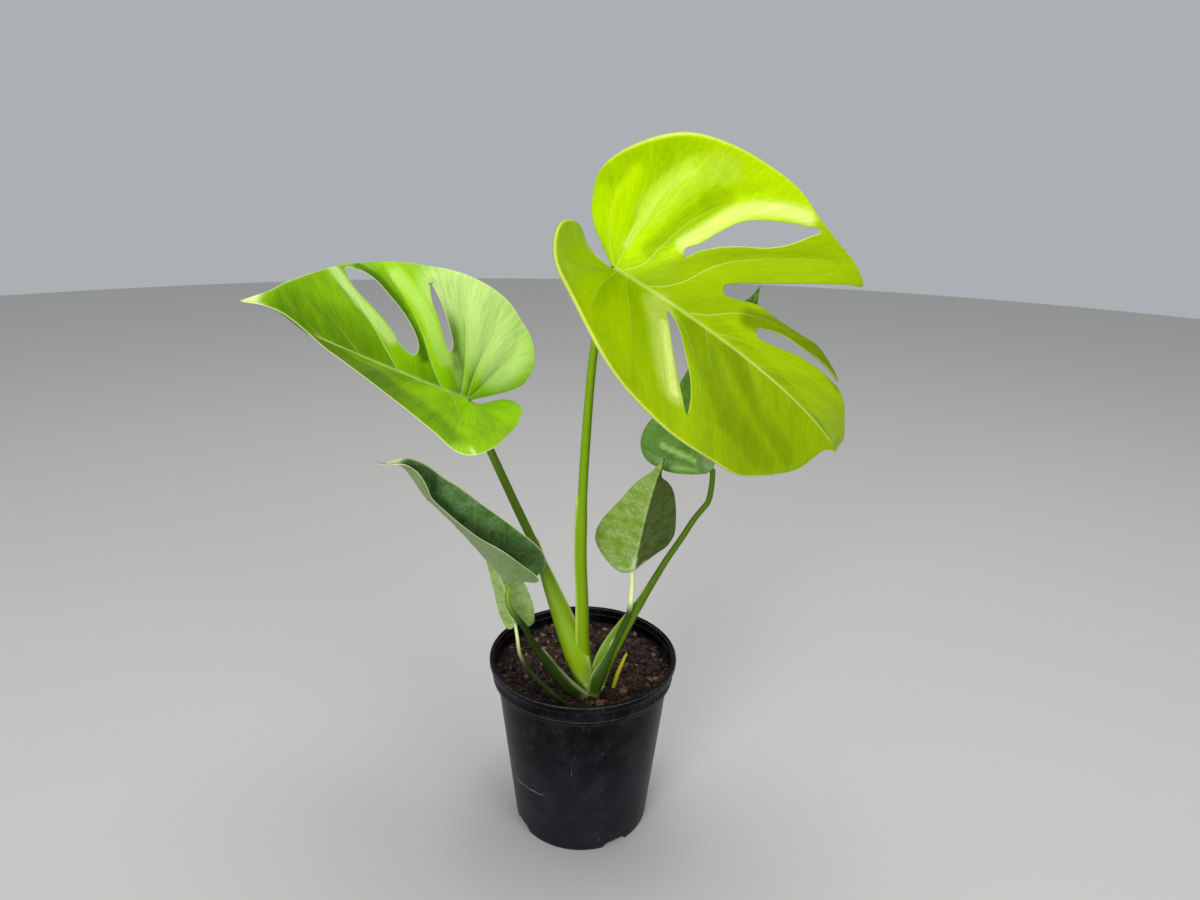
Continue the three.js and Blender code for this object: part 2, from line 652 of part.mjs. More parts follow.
// The newest petioles stand whole, and the older sheaths are cut back round them.
const stemOrder = ['top_leaf', 'left_leaf', 'rear_leaf', 'upright_leaf', 'low_leaf', 'small_leaf'];
let stemRoom = crownRoom;
stemOrder.forEach((name) => {
  const leaf = LEAVES[name];
  leaf.curve = new THREE.CubicBezierCurve3(...leaf.spine.map(vector));
  leaf.length = leaf.curve.getLength();
  const blade = bladeGeometry(leaf);
  const { path, sizes, colour } = leaf.petiole;
  const stem = stemSolid(path, sizes).subtract(stemRoom).subtract(bladeRoom(leaf, blade));
  const petiole = largestBody(stem);
  stemRoom = stemRoom.add(stemSolid(path, sizes, CLEARANCE));
  const group = new THREE.Group();
  group.add(meshFrom(solidFrom(blade), `${name}_blade`, leaf.colour, 0.4));
  group.add(meshFrom(petiole, `${name}_petiole`, colour, 0.45));
  plant.add(group);
});

const soil = largestBody(soilSolid().subtract(stemRoom).subtract(spikeRoom));
plant.add(meshFrom(soil, 'soil', 0x2b2119, 1));

export default plant;
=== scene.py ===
import math
import random

import bpy
import numpy as np
from mathutils import Matrix, Vector, noise
from mathutils.geometry import delaunay_2d_cdt


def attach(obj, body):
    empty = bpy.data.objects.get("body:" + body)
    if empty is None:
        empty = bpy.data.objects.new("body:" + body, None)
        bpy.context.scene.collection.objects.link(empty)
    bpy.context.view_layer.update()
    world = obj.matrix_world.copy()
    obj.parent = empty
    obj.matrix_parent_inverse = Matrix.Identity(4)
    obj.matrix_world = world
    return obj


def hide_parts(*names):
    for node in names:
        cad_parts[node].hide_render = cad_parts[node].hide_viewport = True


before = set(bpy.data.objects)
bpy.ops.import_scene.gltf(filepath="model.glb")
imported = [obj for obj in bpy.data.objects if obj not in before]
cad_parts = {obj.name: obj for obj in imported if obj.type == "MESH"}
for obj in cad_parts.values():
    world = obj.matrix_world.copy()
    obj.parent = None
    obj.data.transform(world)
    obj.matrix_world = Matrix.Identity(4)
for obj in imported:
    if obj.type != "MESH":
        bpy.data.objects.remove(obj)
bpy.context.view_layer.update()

# The leaves, stalks and pot are described in millimetres, as in the part's source.
MM = 0.001

# Each leaf is drawn as in the part's source: a spine from stalk to tip, the way its upper face
# looks at either end, and two halves with their edges in [across, along] from the spine's start.
# "fold" and "curl" turn a half up, in degrees, at four places from behind the base to the tip. "sweep"
# and "kick" move what lies behind the base. "arch" is how high the blade humps, and from where to where.
# "veins" are the side veins of each half, the right half's across values being positive. "relief"
# is how far the skin puffs up between the veins, how wide a vein's valley is, and how far from the
# outline the puffs are at full height. "glints" are painted highlights, with a few real pale marks
# among them such as the left leaf's nick, and "shadows" are painted shade: soft strips of pale or
# dark skin, given as how much, how wide to either side, and the middle line.
LEAVES = {
    "top_leaf": {
        "relief": (2.6, 11, 0.1),
        "spine": [(18, -1, 500), (77, -22, 470), (152, -74, 424), (176, -81, 388)],
        "face": [(-0.24, -0.95, 0.17), (0.08, -0.87, 0.48)],
        "right": {
            "fold": (90, 49, 26, 10),
            "curl": (-2, -3, -5, -3),
            "sweep": (18, 1, 6),
            "edge": [
                (0, 0), (1, -24), (6, -44), (22, -55), (43, -55), (63, -47), (80, -30), (99, -8),
                (111, 10), (122, 29), (130, 48), (132, 69), (129, 86), (123, 102), (110, 135),
                (95, 162), (85, 181), (70, 192), (51, 203), (34, 210), (18, 211), (7, 212), (0, 218),
            ],
            "veins": [
                [(2, 1), (14, -13), (34, -26), (58, -28)],
                [(2, 5), (25, 5), (49, 11), (80, 26), (104, 44)],
                [(2, 14), (14, 22), (40, 42), (74, 66), (108, 88)],
                [(2, 46), (8, 66), (20, 86), (48, 116), (84, 150)],
                [(2, 88), (20, 104), (44, 134), (62, 166), (68, 184)],
                [(2, 128), (18, 148), (32, 174), (38, 198)],
                [(2, 164), (10, 180), (16, 202)],
            ],
        },
        "left": {
            "fold": (30, 1, -26, -57),
            "curl": (15, 3, -7, -35),
            "sweep": (8, 0, -3),
            "edge": [
                (0, 0), (-10, -15), (-24, -33), (-39, -41), (-57, -43), (-71, -37), (-87, -24),
                (-101, -10), (-111, 2), (-118, 18), (-119, 40), (-118, 62), (-117, 84), (-113, 102),
                (-113, 118), (-115, 134), (-113, 146), (-104, 139), (-89, 127), (-70, 111),
                (-54, 96), (-42, 83), (-34, 77), (-30, 81), (-34, 91), (-41, 103), (-45, 120),
                (-52, 138), (-58, 150), (-61, 165), (-63, 182), (-54, 162), (-46, 147), (-41, 134),
                (-34, 122), (-26, 114), (-22, 119), (-28, 133), (-37, 146), (-46, 161), (-54, 175),
                (-61, 188), (-64, 204), (-62, 217), (-54, 224), (-40, 224), (-22, 221), (-8, 219),
                (0, 218),
            ],
            "veins": [
                [(-2, 1), (-12, -8), (-30, -18), (-54, -22), (-78, -14)],
                [(-2, 3), (-19, 2), (-37, 1), (-57, 1), (-73, 5), (-96, 18)],
                [(-3, 10), (-14, 20), (-28, 24), (-52, 32), (-67, 40), (-92, 58)],
                [(-2, 32), (-8, 42), (-19, 52), (-35, 60), (-51, 71), (-67, 87), (-88, 108), (-104, 124)],
                [(-2, 70), (-10, 82), (-24, 95), (-36, 112), (-48, 140)],
                [(-2, 96), (-8, 108), (-20, 138), (-36, 166), (-50, 196)],
                [(-2, 134), (-10, 152), (-22, 182), (-30, 206)],
                [(-2, 170), (-8, 186), (-12, 206)],
            ],
        },
        "glints": [
            (0.95, 6.5, [(-41, 37), (-60, 47), (-77, 56), (-90, 67), (-101, 82), (-108, 95)]),
            (0.4, 15, [(8, 46), (22, 60), (40, 76), (58, 92), (76, 112)]),
            (0.95, 6, [(22, 62), (38, 76), (50, 87), (64, 99), (76, 111)]),
            (0.4, 4, [(-20, 2), (-44, 5), (-60, 8), (-76, 14), (-92, 24)]),
            (0.15, 14, [(-50, 7), (-70, 14), (-92, 26), (-103, 40)]),
        ],
        "shadows": [
            (0.75, 11, [(-28, 106), (-42, 126), (-51, 144), (-58, 164), (-62, 180)]),
            (0.35, 3, [(-34, 219), (-18, 216), (-5, 216)]),
            (0.32, 10, [(-84, 46), (-66, 37), (-46, 28), (-26, 20)]),
            (0.3, 9, [(16, 96), (34, 120), (60, 148)]),
            (0.3, 14, [(8, 78), (24, 102), (42, 132), (54, 160), (58, 186)]),
            (0.24, 10, [(4, 112), (18, 138), (32, 170), (38, 198)]),
            (0.2, 8, [(-8, 90), (-7, 120), (-6, 168), (-5, 200)]),
        ],
        "holes": [
            [(-34, 43), (-39, 40), (-48, 47), (-62, 54), (-77, 63), (-87, 74), (-95, 85), (-103, 97),
             (-109, 106), (-98, 101), (-84, 93), (-73, 83), (-64, 71), (-53, 58), (-42, 48)],
            [(7, 56), (24, 70), (41, 85), (56, 100), (69, 114), (81, 128), (66, 121), (50, 109),
             (36, 95), (22, 80), (12, 68)],
        ],
    },
    "left_leaf": {
        "relief": (3.0, 10, 12),
        "spine": [(-101, 46, 380), (-151, 9, 412), (-198, -32, 445), (-241, -60, 477)],
        "face": [(0.33, -0.59, 0.74), (0.26, -0.48, 0.84)],
        "arch": (7.2, 0.73, 1.05),
        "right": {
            "fold": (74, 24, 14, 28),
            "curl": (3, -54, -35, -9),
            "sweep": (2, -2, -10),
            "edge": [
                (0, 0), (12, -17), (26, -30), (37, -35), (50, -34), (62, -29), (74, -18), (82, -5),
                (90, 8), (95, 22), (98, 38), (99, 52), (98, 68), (97, 84), (92, 104), (85, 118),
                (76, 132), (58, 151), (36, 166), (20, 177), (11, 184), (6, 192), (0, 203),
            ],
            "veins": [
                [(2, 1), (12, -5), (32, -12), (53, -17), (70, -12)],
                [(2, 3), (14, 4), (36, 4), (60, 4), (82, 10)],
                [(2, 10), (14, 12), (30, 16), (62, 27), (88, 38)],
                [(2, 30), (10, 38), (20, 46), (38, 57), (58, 72), (80, 92)],
                [(2, 73), (15, 87), (33, 104), (48, 121), (58, 142)],
                [(2, 108), (14, 126), (26, 146), (30, 162)],
                [(2, 140), (8, 156), (12, 172)],
            ],
        },
        "left": {
            "fold": (72, 25, 38, 42),
            "curl": (-25, -67, 1, 1),
            "kick": (-9, 5.5, 20),
            "edge": [
                (0, 0), (-4, -8), (-4, -20), (-3, -31), (-5, -39), (-13, -42), (-26, -41), (-48, -31),
                (-64, -15), (-86, 7), (-104, 22), (-117, 37), (-121, 52), (-114, 60), (-94, 71),
                (-78, 90), (-66, 113), (-55, 135), (-42, 155), (-28, 172), (-15, 186), (-6, 195),
                (0, 203),
            ],
            "veins": [
                [(-2, 1), (-9, -9), (-20, -20), (-32, -28)],
                [(-2, 3), (-16, 0), (-38, 0), (-62, 6), (-88, 20)],
                [(-2, 20), (-12, 26), (-34, 32), (-64, 42), (-92, 55)],
                [(-2, 54), (-14, 64), (-32, 78), (-52, 94), (-62, 106)],
                [(-2, 92), (-14, 106), (-28, 122), (-42, 142)],
                [(-2, 128), (-10, 142), (-20, 162)],
            ],
        },
        "glints": [
            (0.8, 7, [(24, 84), (34, 98), (48, 118), (64, 136), (78, 146)]),
            (0.45, 8, [(24, 34), (40, 47), (56, 58), (72, 74), (84, 88)]),
            (0.4, 9, [(12, 14), (20, 20), (28, 26)]),
            (1, 34, [(48, 0), (66, 8), (80, 26), (86, 44)]),
            (1, 1.6, [(-121, 50), (-113, 51)]),
            (0.9, 20, [(30, -12), (54, -16), (70, -6)]),
        ],
        "shadows": [
            (0.8, 6.5, [(20, 52), (36, 64), (54, 80), (70, 98), (80, 118)]),
            (0.9, 6, [(24, 22), (38, 28), (58, 38), (74, 48), (86, 58)]),
            (0.35, 26, [(4, 110), (16, 130), (10, 160)]),
            (0.5, 26, [(-92, 66), (-74, 86), (-54, 112), (-36, 144)]),
        ],
        "holes": [
            [(74, 129), (60, 123), (46, 104), (33, 86), (22, 75), (18, 63), (25, 59), (35, 63),
             (49, 75), (62, 91), (72, 104), (76, 117)],
            [(83, 61), (73, 52), (57, 41), (38, 31), (32, 32), (40, 39), (54, 47), (68, 56)],
        ],
    },
    "low_leaf": {
        "spine": [(-59, -45, 253), (-81, -59, 288), (-112, -42, 323), (-152, -68, 363)],
        "face": [(0.21, -0.23, 0.95), (0.34, -0.48, 0.81)],
        "arch": (10.5, 0.66, 1),
        "right": {
            "fold": (70, 82, 78, 55),
            "curl": (8, 16, 15, 5),
            "edge": [
                (0, 0), (10, -8), (22, -11), (31, -8), (37, 5), (39, 20), (38, 34), (35, 50),
                (30, 69), (27, 84), (23, 99), (17, 110), (10, 120), (5, 130), (2, 140), (0, 150),
            ],
        },
        "left": {
            "fold": (75, 54, 49, 66),
            "curl": (4, -8, -13, 0),
            "edge": [
                (0, 0), (-6, 0), (-15, 3), (-26, -2), (-36, 7), (-45, 25), (-49, 43), (-33, 60),
                (-19, 78), (-14, 92), (-16, 101), (-22, 108), (-22, 115), (-15, 123), (-8, 132),
                (-3, 142), (0, 150),
            ],
        },
    },
    "small_leaf": {
        "spine": [(-55, -46, 219), (-61, -42, 244), (-72, -33, 267), (-88, -22, 289)],
        "face": [(-0.2, 0.95, 0.2), (-0.2, 0.93, 0.3)],
        "right": {
            "fold": (26, 26, 26, 26),
            "curl": (-5, -5, -5, -5),
            "edge": [
                (0, 0), (3, -5), (8, -5), (11, 2), (12, 13), (11, 26), (9, 40), (6, 56), (2, 70),
                (0, 81),
            ],
        },
        "left": {
            "fold": (30, 30, 30, 30),
            "curl": (-5, -5, -5, -5),
            "edge": [
                (0, 0), (-4, -4), (-10, -8), (-16, -7), (-19, 2), (-19, 15), (-17, 30), (-14, 44),
                (-9, 58), (-4, 70), (0, 81),
            ],
        },
    },
    "upright_leaf": {
        "glints": [
            (0.9, 3, [(0, -4), (0, 4), (0, 12)]),
            (0.6, 2, [(12, -4), (4, 0), (0, 4), (-5, 1), (-14, 5)]),
        ],
        "spine": [(41, -7, 248), (47, -15, 284), (51, -5, 312), (64, -11, 352)],
        "face": [(-0.09, 0.99, 0.14), (-0.05, 0.99, 0.15)],
        "right": {
            "fold": (33, 33, 35, 35),
            "curl": (-2, -2, 0, 0),
            "edge": [
                (0, 0), (5, -5), (13, -7), (23, -3), (33, 5), (39, 14), (40, 25), (37, 36),
                (32, 46), (24, 60), (16, 76), (7, 89), (4, 95), (0, 108),
            ],
        },
        "left": {
            "fold": (42, 37, 41, 49),
            "curl": (-5, -9, -5, 0),
            "edge": [
                (0, 0), (-4, 0), (-15, 4), (-28, 9), (-39, 13), (-45, 25), (-43, 42), (-37, 60),
                (-29, 73), (-17, 82), (-7, 87), (-3, 94), (0, 108),
            ],
        },
    },
    "rear_leaf": {
        "glints": [
            (0.9, 3, [(2, 0), (-10, 3), (-26, 8), (-44, 14)]),
            (0.6, 2.5, [(0, 4), (-12, 14), (-26, 28), (-34, 44)]),
            (0.5, 2.5, [(0, -2), (-16, -3), (-34, -1)]),
            (0.5, 8, [(2, 3), (12, 2), (26, 6)]),
        ],
        "spine": [(106, 10, 336), (108, 24, 373), (120, 26, 437), (132, 5, 485)],
        "face": [(-0.25, -0.95, 0.15), (-0.1, -0.98, 0.2)],
        "right": {
            "fold": (118, 100, 70, 45),
            "curl": (0, -20, -20, -10),
            "edge": [
                (0, 0), (8, -3), (20, -6), (33, -4), (44, 8), (50, 28), (50, 52), (43, 78),
                (32, 102), (19, 122), (8, 138), (2, 149), (0, 158),
            ],
        },
        "left": {
            "fold": (5, 12, 25, 30),
            "curl": (-10, -10, -10, -10),
            "edge": [
                (0, 0), (-6, -5), (-22, -7), (-37, -6), (-48, -2), (-57, 3), (-62, 11), (-62, 19),
                (-58, 29), (-50, 39), (-42, 52), (-38, 68), (-33, 84), (-27, 102), (-20, 120),
                (-11, 138), (-3, 149), (0, 158),
            ],
        },
    },
}

# ---------------------------------------------------------------- curves

def catmull(points, closed=False, steps=16):
    """Points along the centripetal Catmull-Rom curve that the part's source draws."""
    points = [np.array(p, float) for p in points]
    if closed:
        run = [points[-1], *points, *points[:2]]
    else:
        run = [2 * points[0] - points[1], *points, 2 * points[-1] - points[-2]]
    t = (np.arange(steps) / steps)[:, None]
    line = []
    for a, b, c, d in zip(run, run[1:], run[2:], run[3:]):
        ab, bc, cd = (math.sqrt(np.linalg.norm(q - p)) for p, q in ((a, b), (b, c), (c, d)))
        out = ((b - a) / ab - (c - a) / (ab + bc) + (c - b) / bc) * bc
        into = ((c - b) / bc - (d - b) / (bc + cd) + (d - c) / cd) * bc
        bend = 3 * (c - b) - 2 * out - into
        line.append(b + out * t + bend * t**2 + (2 * (b - c) + out + into) * t**3)
    if not closed:
        line.append(points[-1][None])
    return np.vstack(line)


def travelled(line):
    """How far along the line each of its points is."""
    return np.concatenate([[0], np.cumsum(np.linalg.norm(np.diff(line, axis=0), axis=1))])


def at_distance(line, reach, where):
    return np.stack([np.interp(where, reach, line[:, k]) for k in range(line.shape[1])], axis=-1)


def spaced(line, step, closed=False):
    """The same line with evenly spaced points. A closed line doesn't repeat its first point."""
    if closed:
        line = np.vstack([line, line[:1]])
    reach = travelled(line)
    count = max(4, round(reach[-1] / step))
    where = np.linspace(0, reach[-1], count + 1)
    return at_distance(line, reach, where[:-1] if closed else where)


def unit(v):
    return v / np.maximum(np.linalg.norm(v, axis=-1, keepdims=True), 1e-12)


def dot(a, b):
    return np.sum(a * b, axis=-1, keepdims=True)


def within(loop, points):
    """Which points lie inside a closed loop."""
    x, y = points[:, :1], points[:, 1:]
    a, b = loop, np.roll(loop, -1, axis=0)
    spans = (a[:, 1] > y) != (b[:, 1] > y)
    rise = np.where(b[:, 1] == a[:, 1], 1e-9, b[:, 1] - a[:, 1])
    left = x < a[:, 0] + (b[:, 0] - a[:, 0]) * (y - a[:, 1]) / rise
    return np.sum(spans & left, axis=1) % 2 == 1


def nearest(points, starts, ends):
    """Distance from each point to the nearest of the segments, which one it is, and where on it."""
    gap = np.full(len(points), np.inf)
    which = np.zeros(len(points), int)
    where = np.zeros(len(points))
    run = ends - starts
    for i, (start, step) in enumerate(zip(starts, run)):
        share = np.clip((points - start) @ step / max(step @ step, 1e-9), 0, 1)
        away = np.linalg.norm(points - start - share[:, None] * step, axis=1)
        closer = away < gap
        gap[closer], which[closer], where[closer] = away[closer], i, share[closer]
    return gap, which, where


def smooth(value, low, high):
    share = np.clip((value - low) / (high - low), 0, 1)
    return share * share * (3 - 2 * share)


# ---------------------------------------------------------------- leaf blades

BACK_SHARE = 0.5         # how far behind the base the fold values start
VEIN_SLANT = 0.8         # how far forward the side veins run, per mm across
LOBE_REACH = 45          # how far behind the base "sweep" and "kick" are measured
KICK_START = 8           # how far behind the base a kick is in full swing
CREASE = 1.8             # the two halves meet in a round valley of about this radius
CURL_SPAN = 100          # "curl" is in degrees over this width
HALF_THICK = 0.36
EDGE_STEP = 2.4          # between points along the outline, and elsewhere
GRID = 2.8
GRID_RISE = 0.866        # from row to row of an even grid, as a share of its step
RIM_ROWS = (0.45, 1.3)   # rows of points beside the outline, and beside the veins
VEIN_ROWS = (-2.4, -1.1, 1.1, 2.4)
VEIN_END_GAP = 1.6       # how far from the outline the veins, their rows and the grid end
ROW_END_GAP = 2
GRID_END_GAP = 1.9
ROW_GAP = 0.8            # how far from the veins the rows and the grid keep
GRID_GAP = 3.6


def bernstein(values, share):
    rest = 1 - share
    a, b, c, d = values
    return a * rest**3 + 3 * b * share * rest**2 + 3 * c * share**2 * rest + d * share**3


class Leaf:
    """The form that a leaf's flat points are bent to."""
    def __init__(self, shape):
        self.shape = shape
        t = np.linspace(0, 1, 801)[:, None]
        ends = [np.array(p, float) for p in shape["spine"]]
        self.path = bernstein(ends, t)
        a, b, c, d = ends
        self.heading = unit((b - a) * (1 - t)**2 + 2 * (c - b) * t * (1 - t) + (d - c) * t**2)
        self.reach = travelled(self.path)
        self.length = self.reach[-1]
        self.faces = [unit(np.array(f, float)) for f in shape["face"]]

    def outline(self):
        up = spaced(catmull(self.shape["right"]["edge"]), EDGE_STEP)
        down = spaced(catmull(self.shape["left"]["edge"][::-1]), EDGE_STEP)
        return np.vstack([up[:-1], down[:-1]])

    def bend(self, across, along, sign):
        """Where flat points of the blade lie in space."""
        share = along / self.length
        inside = np.clip(share, 0, 1)
        point = at_distance(self.path, self.reach, inside * self.length)
        heading = unit(at_distance(self.heading, self.reach, inside * self.length))
        point = point + heading * (along - inside * self.length)[:, None]
        if "arch" in self.shape:
            rise, start, end = self.shape["arch"]
            point[:, 2] += rise * np.sin(math.pi * np.clip((share - start) / (end - start), 0, 1))**2
        face = self.faces[0] + (self.faces[1] - self.faces[0]) * inside[:, None]
        face = unit(face - dot(face, heading) * heading)
        side = np.cross(heading, face)
        width = np.abs(across)
        root = (along - VEIN_SLANT * width) / self.length
        stage = np.clip((root + BACK_SHARE) / (1 + BACK_SHARE), 0, 1)
        on_right = sign > 0
        halves = self.shape["right"], self.shape["left"]
        fold, curl = (
            np.radians(np.where(on_right, *(bernstein(half[key], stage) for half in halves)))
            for key in ("fold", "curl")
        )
        half_turn = curl * width / CURL_SPAN / 2
        chord = width * np.sinc(half_turn / math.pi)
        behind = np.minimum(along, 0)[:, None]
        sweeps, kicks = (
            [np.array(half.get(key, (0, 0, 0)), float) for half in halves] for key in ("sweep", "kick")
        )
        point = point + np.where(on_right[:, None], *sweeps) * (behind / LOBE_REACH)**2
        turned = (np.hypot(behind, KICK_START) - KICK_START) / LOBE_REACH
        point = point + np.where(on_right[:, None], *kicks) * turned
        point = point + side * (sign * chord * np.cos(fold + half_turn))[:, None]
        lift = chord * (1 - np.exp(-width / CREASE)) * np.sin(fold + half_turn)
        return point + face * lift[:, None]

    def half_normal(self, across, along, sign):
        """The direction of one half's upper face, from points a little way off to each side."""
        reach = 0.6
        width = np.abs(across)
        out = self.bend((width + reach) * sign, along, sign)
        back = self.bend(np.maximum(width - reach, 0) * sign, along, sign)
        ahead = self.bend(across, along + reach, sign)
        behind = self.bend(across, along - reach, sign)
        return unit(np.cross(out - back, ahead - behind) * sign[:, None])

    def normal(self, across, along, sign):
        """The upper face's direction. Close to the midrib, both halves share in it."""
        own = self.half_normal(across, along, sign)
        other = self.half_normal(-np.zeros_like(across), along, -sign)
        share = 0.5 * np.exp(-np.abs(across) / CREASE)[:, None]
        return unit(own * (1 - share) + other * share)


def side_veins(leaf):
    """A leaf's side veins in flat points. A leaf without drawn ones gets even ones."""
    lines = []
    for sign, half in ((1, leaf.shape["right"]), (-1, leaf.shape["left"])):
        if "veins" in half:
            lines += [catmull(line) for line in half["veins"]]
            continue
        widest = max(abs(x) for x, y in half["edge"])
        gap = leaf.length / 9
        for root in np.arange(-1, 8) * gap:
            start = max(root, 2)
            steer = VEIN_SLANT if root > 0 else VEIN_SLANT - 0.9
            steps = np.linspace(0, 1, 6)[:, None] * widest
            rise = steer * steps + 0.25 * steps**2 / widest
            lines.append(catmull(np.hstack([sign * (steps + 1.5), start + rise])))
    return lines


def sideways(line, closed=False):
    """The directions across a flat line."""
    ahead = np.roll(line, -1, axis=0) - np.roll(line, 1, axis=0) if closed else np.gradient(line, axis=0)
    ahead = unit(ahead)
    return np.stack([-ahead[:, 1], ahead[:, 0]], axis=1)


def triangles(points, lines, on_blade):
    """The points in use and the faces over them, with the lines as edges, all facing up."""
    points = [Vector(p) for p in np.vstack(points)]
    flat, _, faces, *_ = delaunay_2d_cdt(points, lines, [], 0, 1e-3)
    flat = np.array([tuple(p) for p in flat])
    faces = np.array(faces)
    a, b, c = (flat[faces[:, k]] for k in range(3))
    area = (b[:, 0] - a[:, 0]) * (c[:, 1] - a[:, 1]) - (b[:, 1] - a[:, 1]) * (c[:, 0] - a[:, 0])
    kept = on_blade(flat[faces].mean(axis=1), 0) & (np.abs(area) > 1e-4)
    faces, area = faces[kept], area[kept]
    faces[area < 0] = faces[area < 0][:, ::-1]
    used = np.unique(faces)
    return flat[used], np.searchsorted(used, faces)


def blade(leaf):
    """A leaf's flat points, faces and halves, and how the points lie to its outline and veins."""
    outline = leaf.outline()
    holes = [catmull(hole, closed=True) for hole in leaf.shape.get("holes", [])]
    holes = [spaced(hole, EDGE_STEP, closed=True) for hole in holes]
    loops = [outline, *holes]
    starts = np.vstack(loops)
    ends = np.vstack([np.roll(loop, -1, axis=0) for loop in loops])

    def on_blade(points, gap):
        kept = within(outline, points)
        for hole in holes:
            kept &= ~within(hole, points)
        return kept & (nearest(points, starts, ends)[0] > gap)

    points, lines, count = [starts], [], 0
    for loop in loops:
        places = np.arange(len(loop)) + count
        lines += zip(places.tolist(), np.roll(places, -1).tolist())
        count += len(loop)

    midrib = spaced(np.array([(0.0, 0.0), (0.0, leaf.length)]), GRID)[1:-1]
    veins = [spaced(line, GRID) for line in side_veins(leaf)]
    vein_starts, vein_ends, vein_share = [], [], []
    for line in (midrib, *veins):
        kept = on_blade(line, VEIN_END_GAP)
        places = np.cumsum(kept) - 1 + count
        both = kept[:-1] & kept[1:]
        lines += zip(places[:-1][both].tolist(), places[1:][both].tolist())
        points.append(line[kept])
        count += int(kept.sum())
        if line is not midrib:
            vein_starts.append(line[:-1][both])
            vein_ends.append(line[1:][both])
            vein_share.append(np.linspace(0, 1, len(line) - 1)[both])
    vein_starts, vein_ends = np.vstack(vein_starts), np.vstack(vein_ends)

    def clear(points, gap):
        """Those of the points that keep their distance from the midrib and the side veins."""
        off_midrib = (np.abs(points[:, 0]) > gap) | (points[:, 1] < 0)
        return points[off_midrib & (nearest(points, vein_starts, vein_ends)[0] > gap)]

    rows = []
    for loop in loops:
        for gap in RIM_ROWS:
            for side in (gap, -gap):
                row = loop + sideways(loop, closed=True) * side
                rows.append(row[on_blade(row, gap * 0.9)])
    for line in (midrib, *veins):
        for side in VEIN_ROWS:
            row = line + sideways(line) * side
            rows.append(row[on_blade(row, ROW_END_GAP)])
    points.append(clear(np.vstack(rows), ROW_GAP))

    low, high = outline.min(axis=0), outline.max(axis=0)
    grid = []
    for i, row in enumerate(np.arange(low[1], high[1], GRID * GRID_RISE)):
        places = np.arange(low[0] + GRID / 2 * (i % 2), high[0], GRID)
        grid.append(np.stack([places, np.full(len(places), row)], axis=1))
    grid = np.vstack(grid)
    points.append(clear(grid[on_blade(grid, GRID_END_GAP)], GRID_GAP))

    flat, faces = triangles(points, lines, on_blade)
    sign = np.where(flat[:, 0] < 0, -1.0, 1.0)
    vein, which, _ = nearest(flat, vein_starts, vein_ends)
    skin = {
        "rim": nearest(flat, starts, ends)[0],
        "outer": nearest(flat, outline, np.roll(outline, -1, axis=0))[0],
        "vein": vein,
        "out": np.concatenate(vein_share)[which],
        "between": between_veins(flat, sign, veins),
    }
    return flat, faces, sign, skin


def strips(leaf, key, flat):
    """How much each point is in the leaf's glints or shadows."""
    amount = np.zeros(len(flat))
    for strength, width, line in leaf.shape.get(key, ()):
        line = catmull(line)
        gap = nearest(flat, line[:-1], line[1:])[0]
        amount = np.maximum(amount, strength * (1 - smooth(gap, 0.35 * width, width)))
    return amount


def between_veins(flat, sign, lines):
    """0 just tip-ward of a side vein, rising to 1 at the next one, with a soft step at the vein."""
    far, soft = 25.0, 2.5
    to_base, to_tip = np.full(len(flat), far), np.full(len(flat), far)
    for line in lines:
        heading = 1 if line[-1, 0] > 0 else -1
        gap, which, _ = nearest(flat, line[:-1], line[1:])
        way = line[1:][which] - line[:-1][which]
        off = flat - line[:-1][which]
        tipward = (way[:, 0] * off[:, 1] - way[:, 1] * off[:, 0]) * heading > 0
        ours = sign == heading
        to_base = np.where(ours & tipward, np.minimum(to_base, gap), to_base)
        to_tip = np.where(ours & ~tipward, np.minimum(to_tip, gap), to_tip)
    share = to_base / (to_base + to_tip + 1e-6)
    return 0.5 + (share - 0.5) * smooth(np.minimum(to_base, to_tip), 0, soft)


GROOVE = (0.45, 1.2)     # how deep and how wide a side vein's groove is
ROLLED = (0.5, 2)        # how far the rim rolls down, and from how far in
MIDRIB = (0.25, 1.3)     # how high and how wide the midrib stands in its valley
UNDER_RIB = (1.9, 1.5, 2.6, 1.7)     # below: how high, less at the tip, how wide, less at the tip
UNDER_VEIN = (0.5, 1.1)
PLAIN_VEIN = 0.3         # the strength of the veins of a leaf without drawn ones
VEIN_FADE = 0.7          # how much weaker a side vein is at its end
RIM_ROUND = 0.9          # the blade thins to its edge over this width
ON_RIM = 0.02


def bell(distance, width):
    return np.exp(-(distance / width)**2)


def relief(leaf, flat, skin, strength):
    """How far the blade stands off its smooth form: veins in grooves, and fuller between them."""
    across, rim, vein = np.abs(flat[:, 0]), skin["rim"], skin["vein"]
    share = np.clip(flat[:, 1] / leaf.length, 0, 1)
    full, reach, fade = leaf.shape.get("relief", (1.0, 9, 9))
    pillow = full * (1 - bell(vein, reach)) * (1 - bell(across, reach))
    pillow = pillow * smooth(skin["outer"], -0.1 * fade, fade) * (1 - 0.6 * share)
    groove = GROOVE[0] * strength * bell(vein, GROOVE[1]) * smooth(rim, 0, 3)
    rolled = ROLLED[0] * np.exp(-rim / ROLLED[1])
    midrib = MIDRIB[0] * (1 - share) * bell(across, MIDRIB[1]) * (flat[:, 1] > 0)
    return pillow - groove - rolled + midrib


def grain(flat):
    """Where a point lies between the side veins, and how far out along them."""
    across, along = np.abs(flat[:, 0]), flat[:, 1]
    root = along - VEIN_SLANT * across
    slant = math.atan(VEIN_SLANT)
    fan = 45 * (np.arctan2(along, np.maximum(across, 1e-6)) - slant)
    between = np.where(root >= 0, root, fan)
    return between, np.hypot(across, along - np.maximum(root, 0))


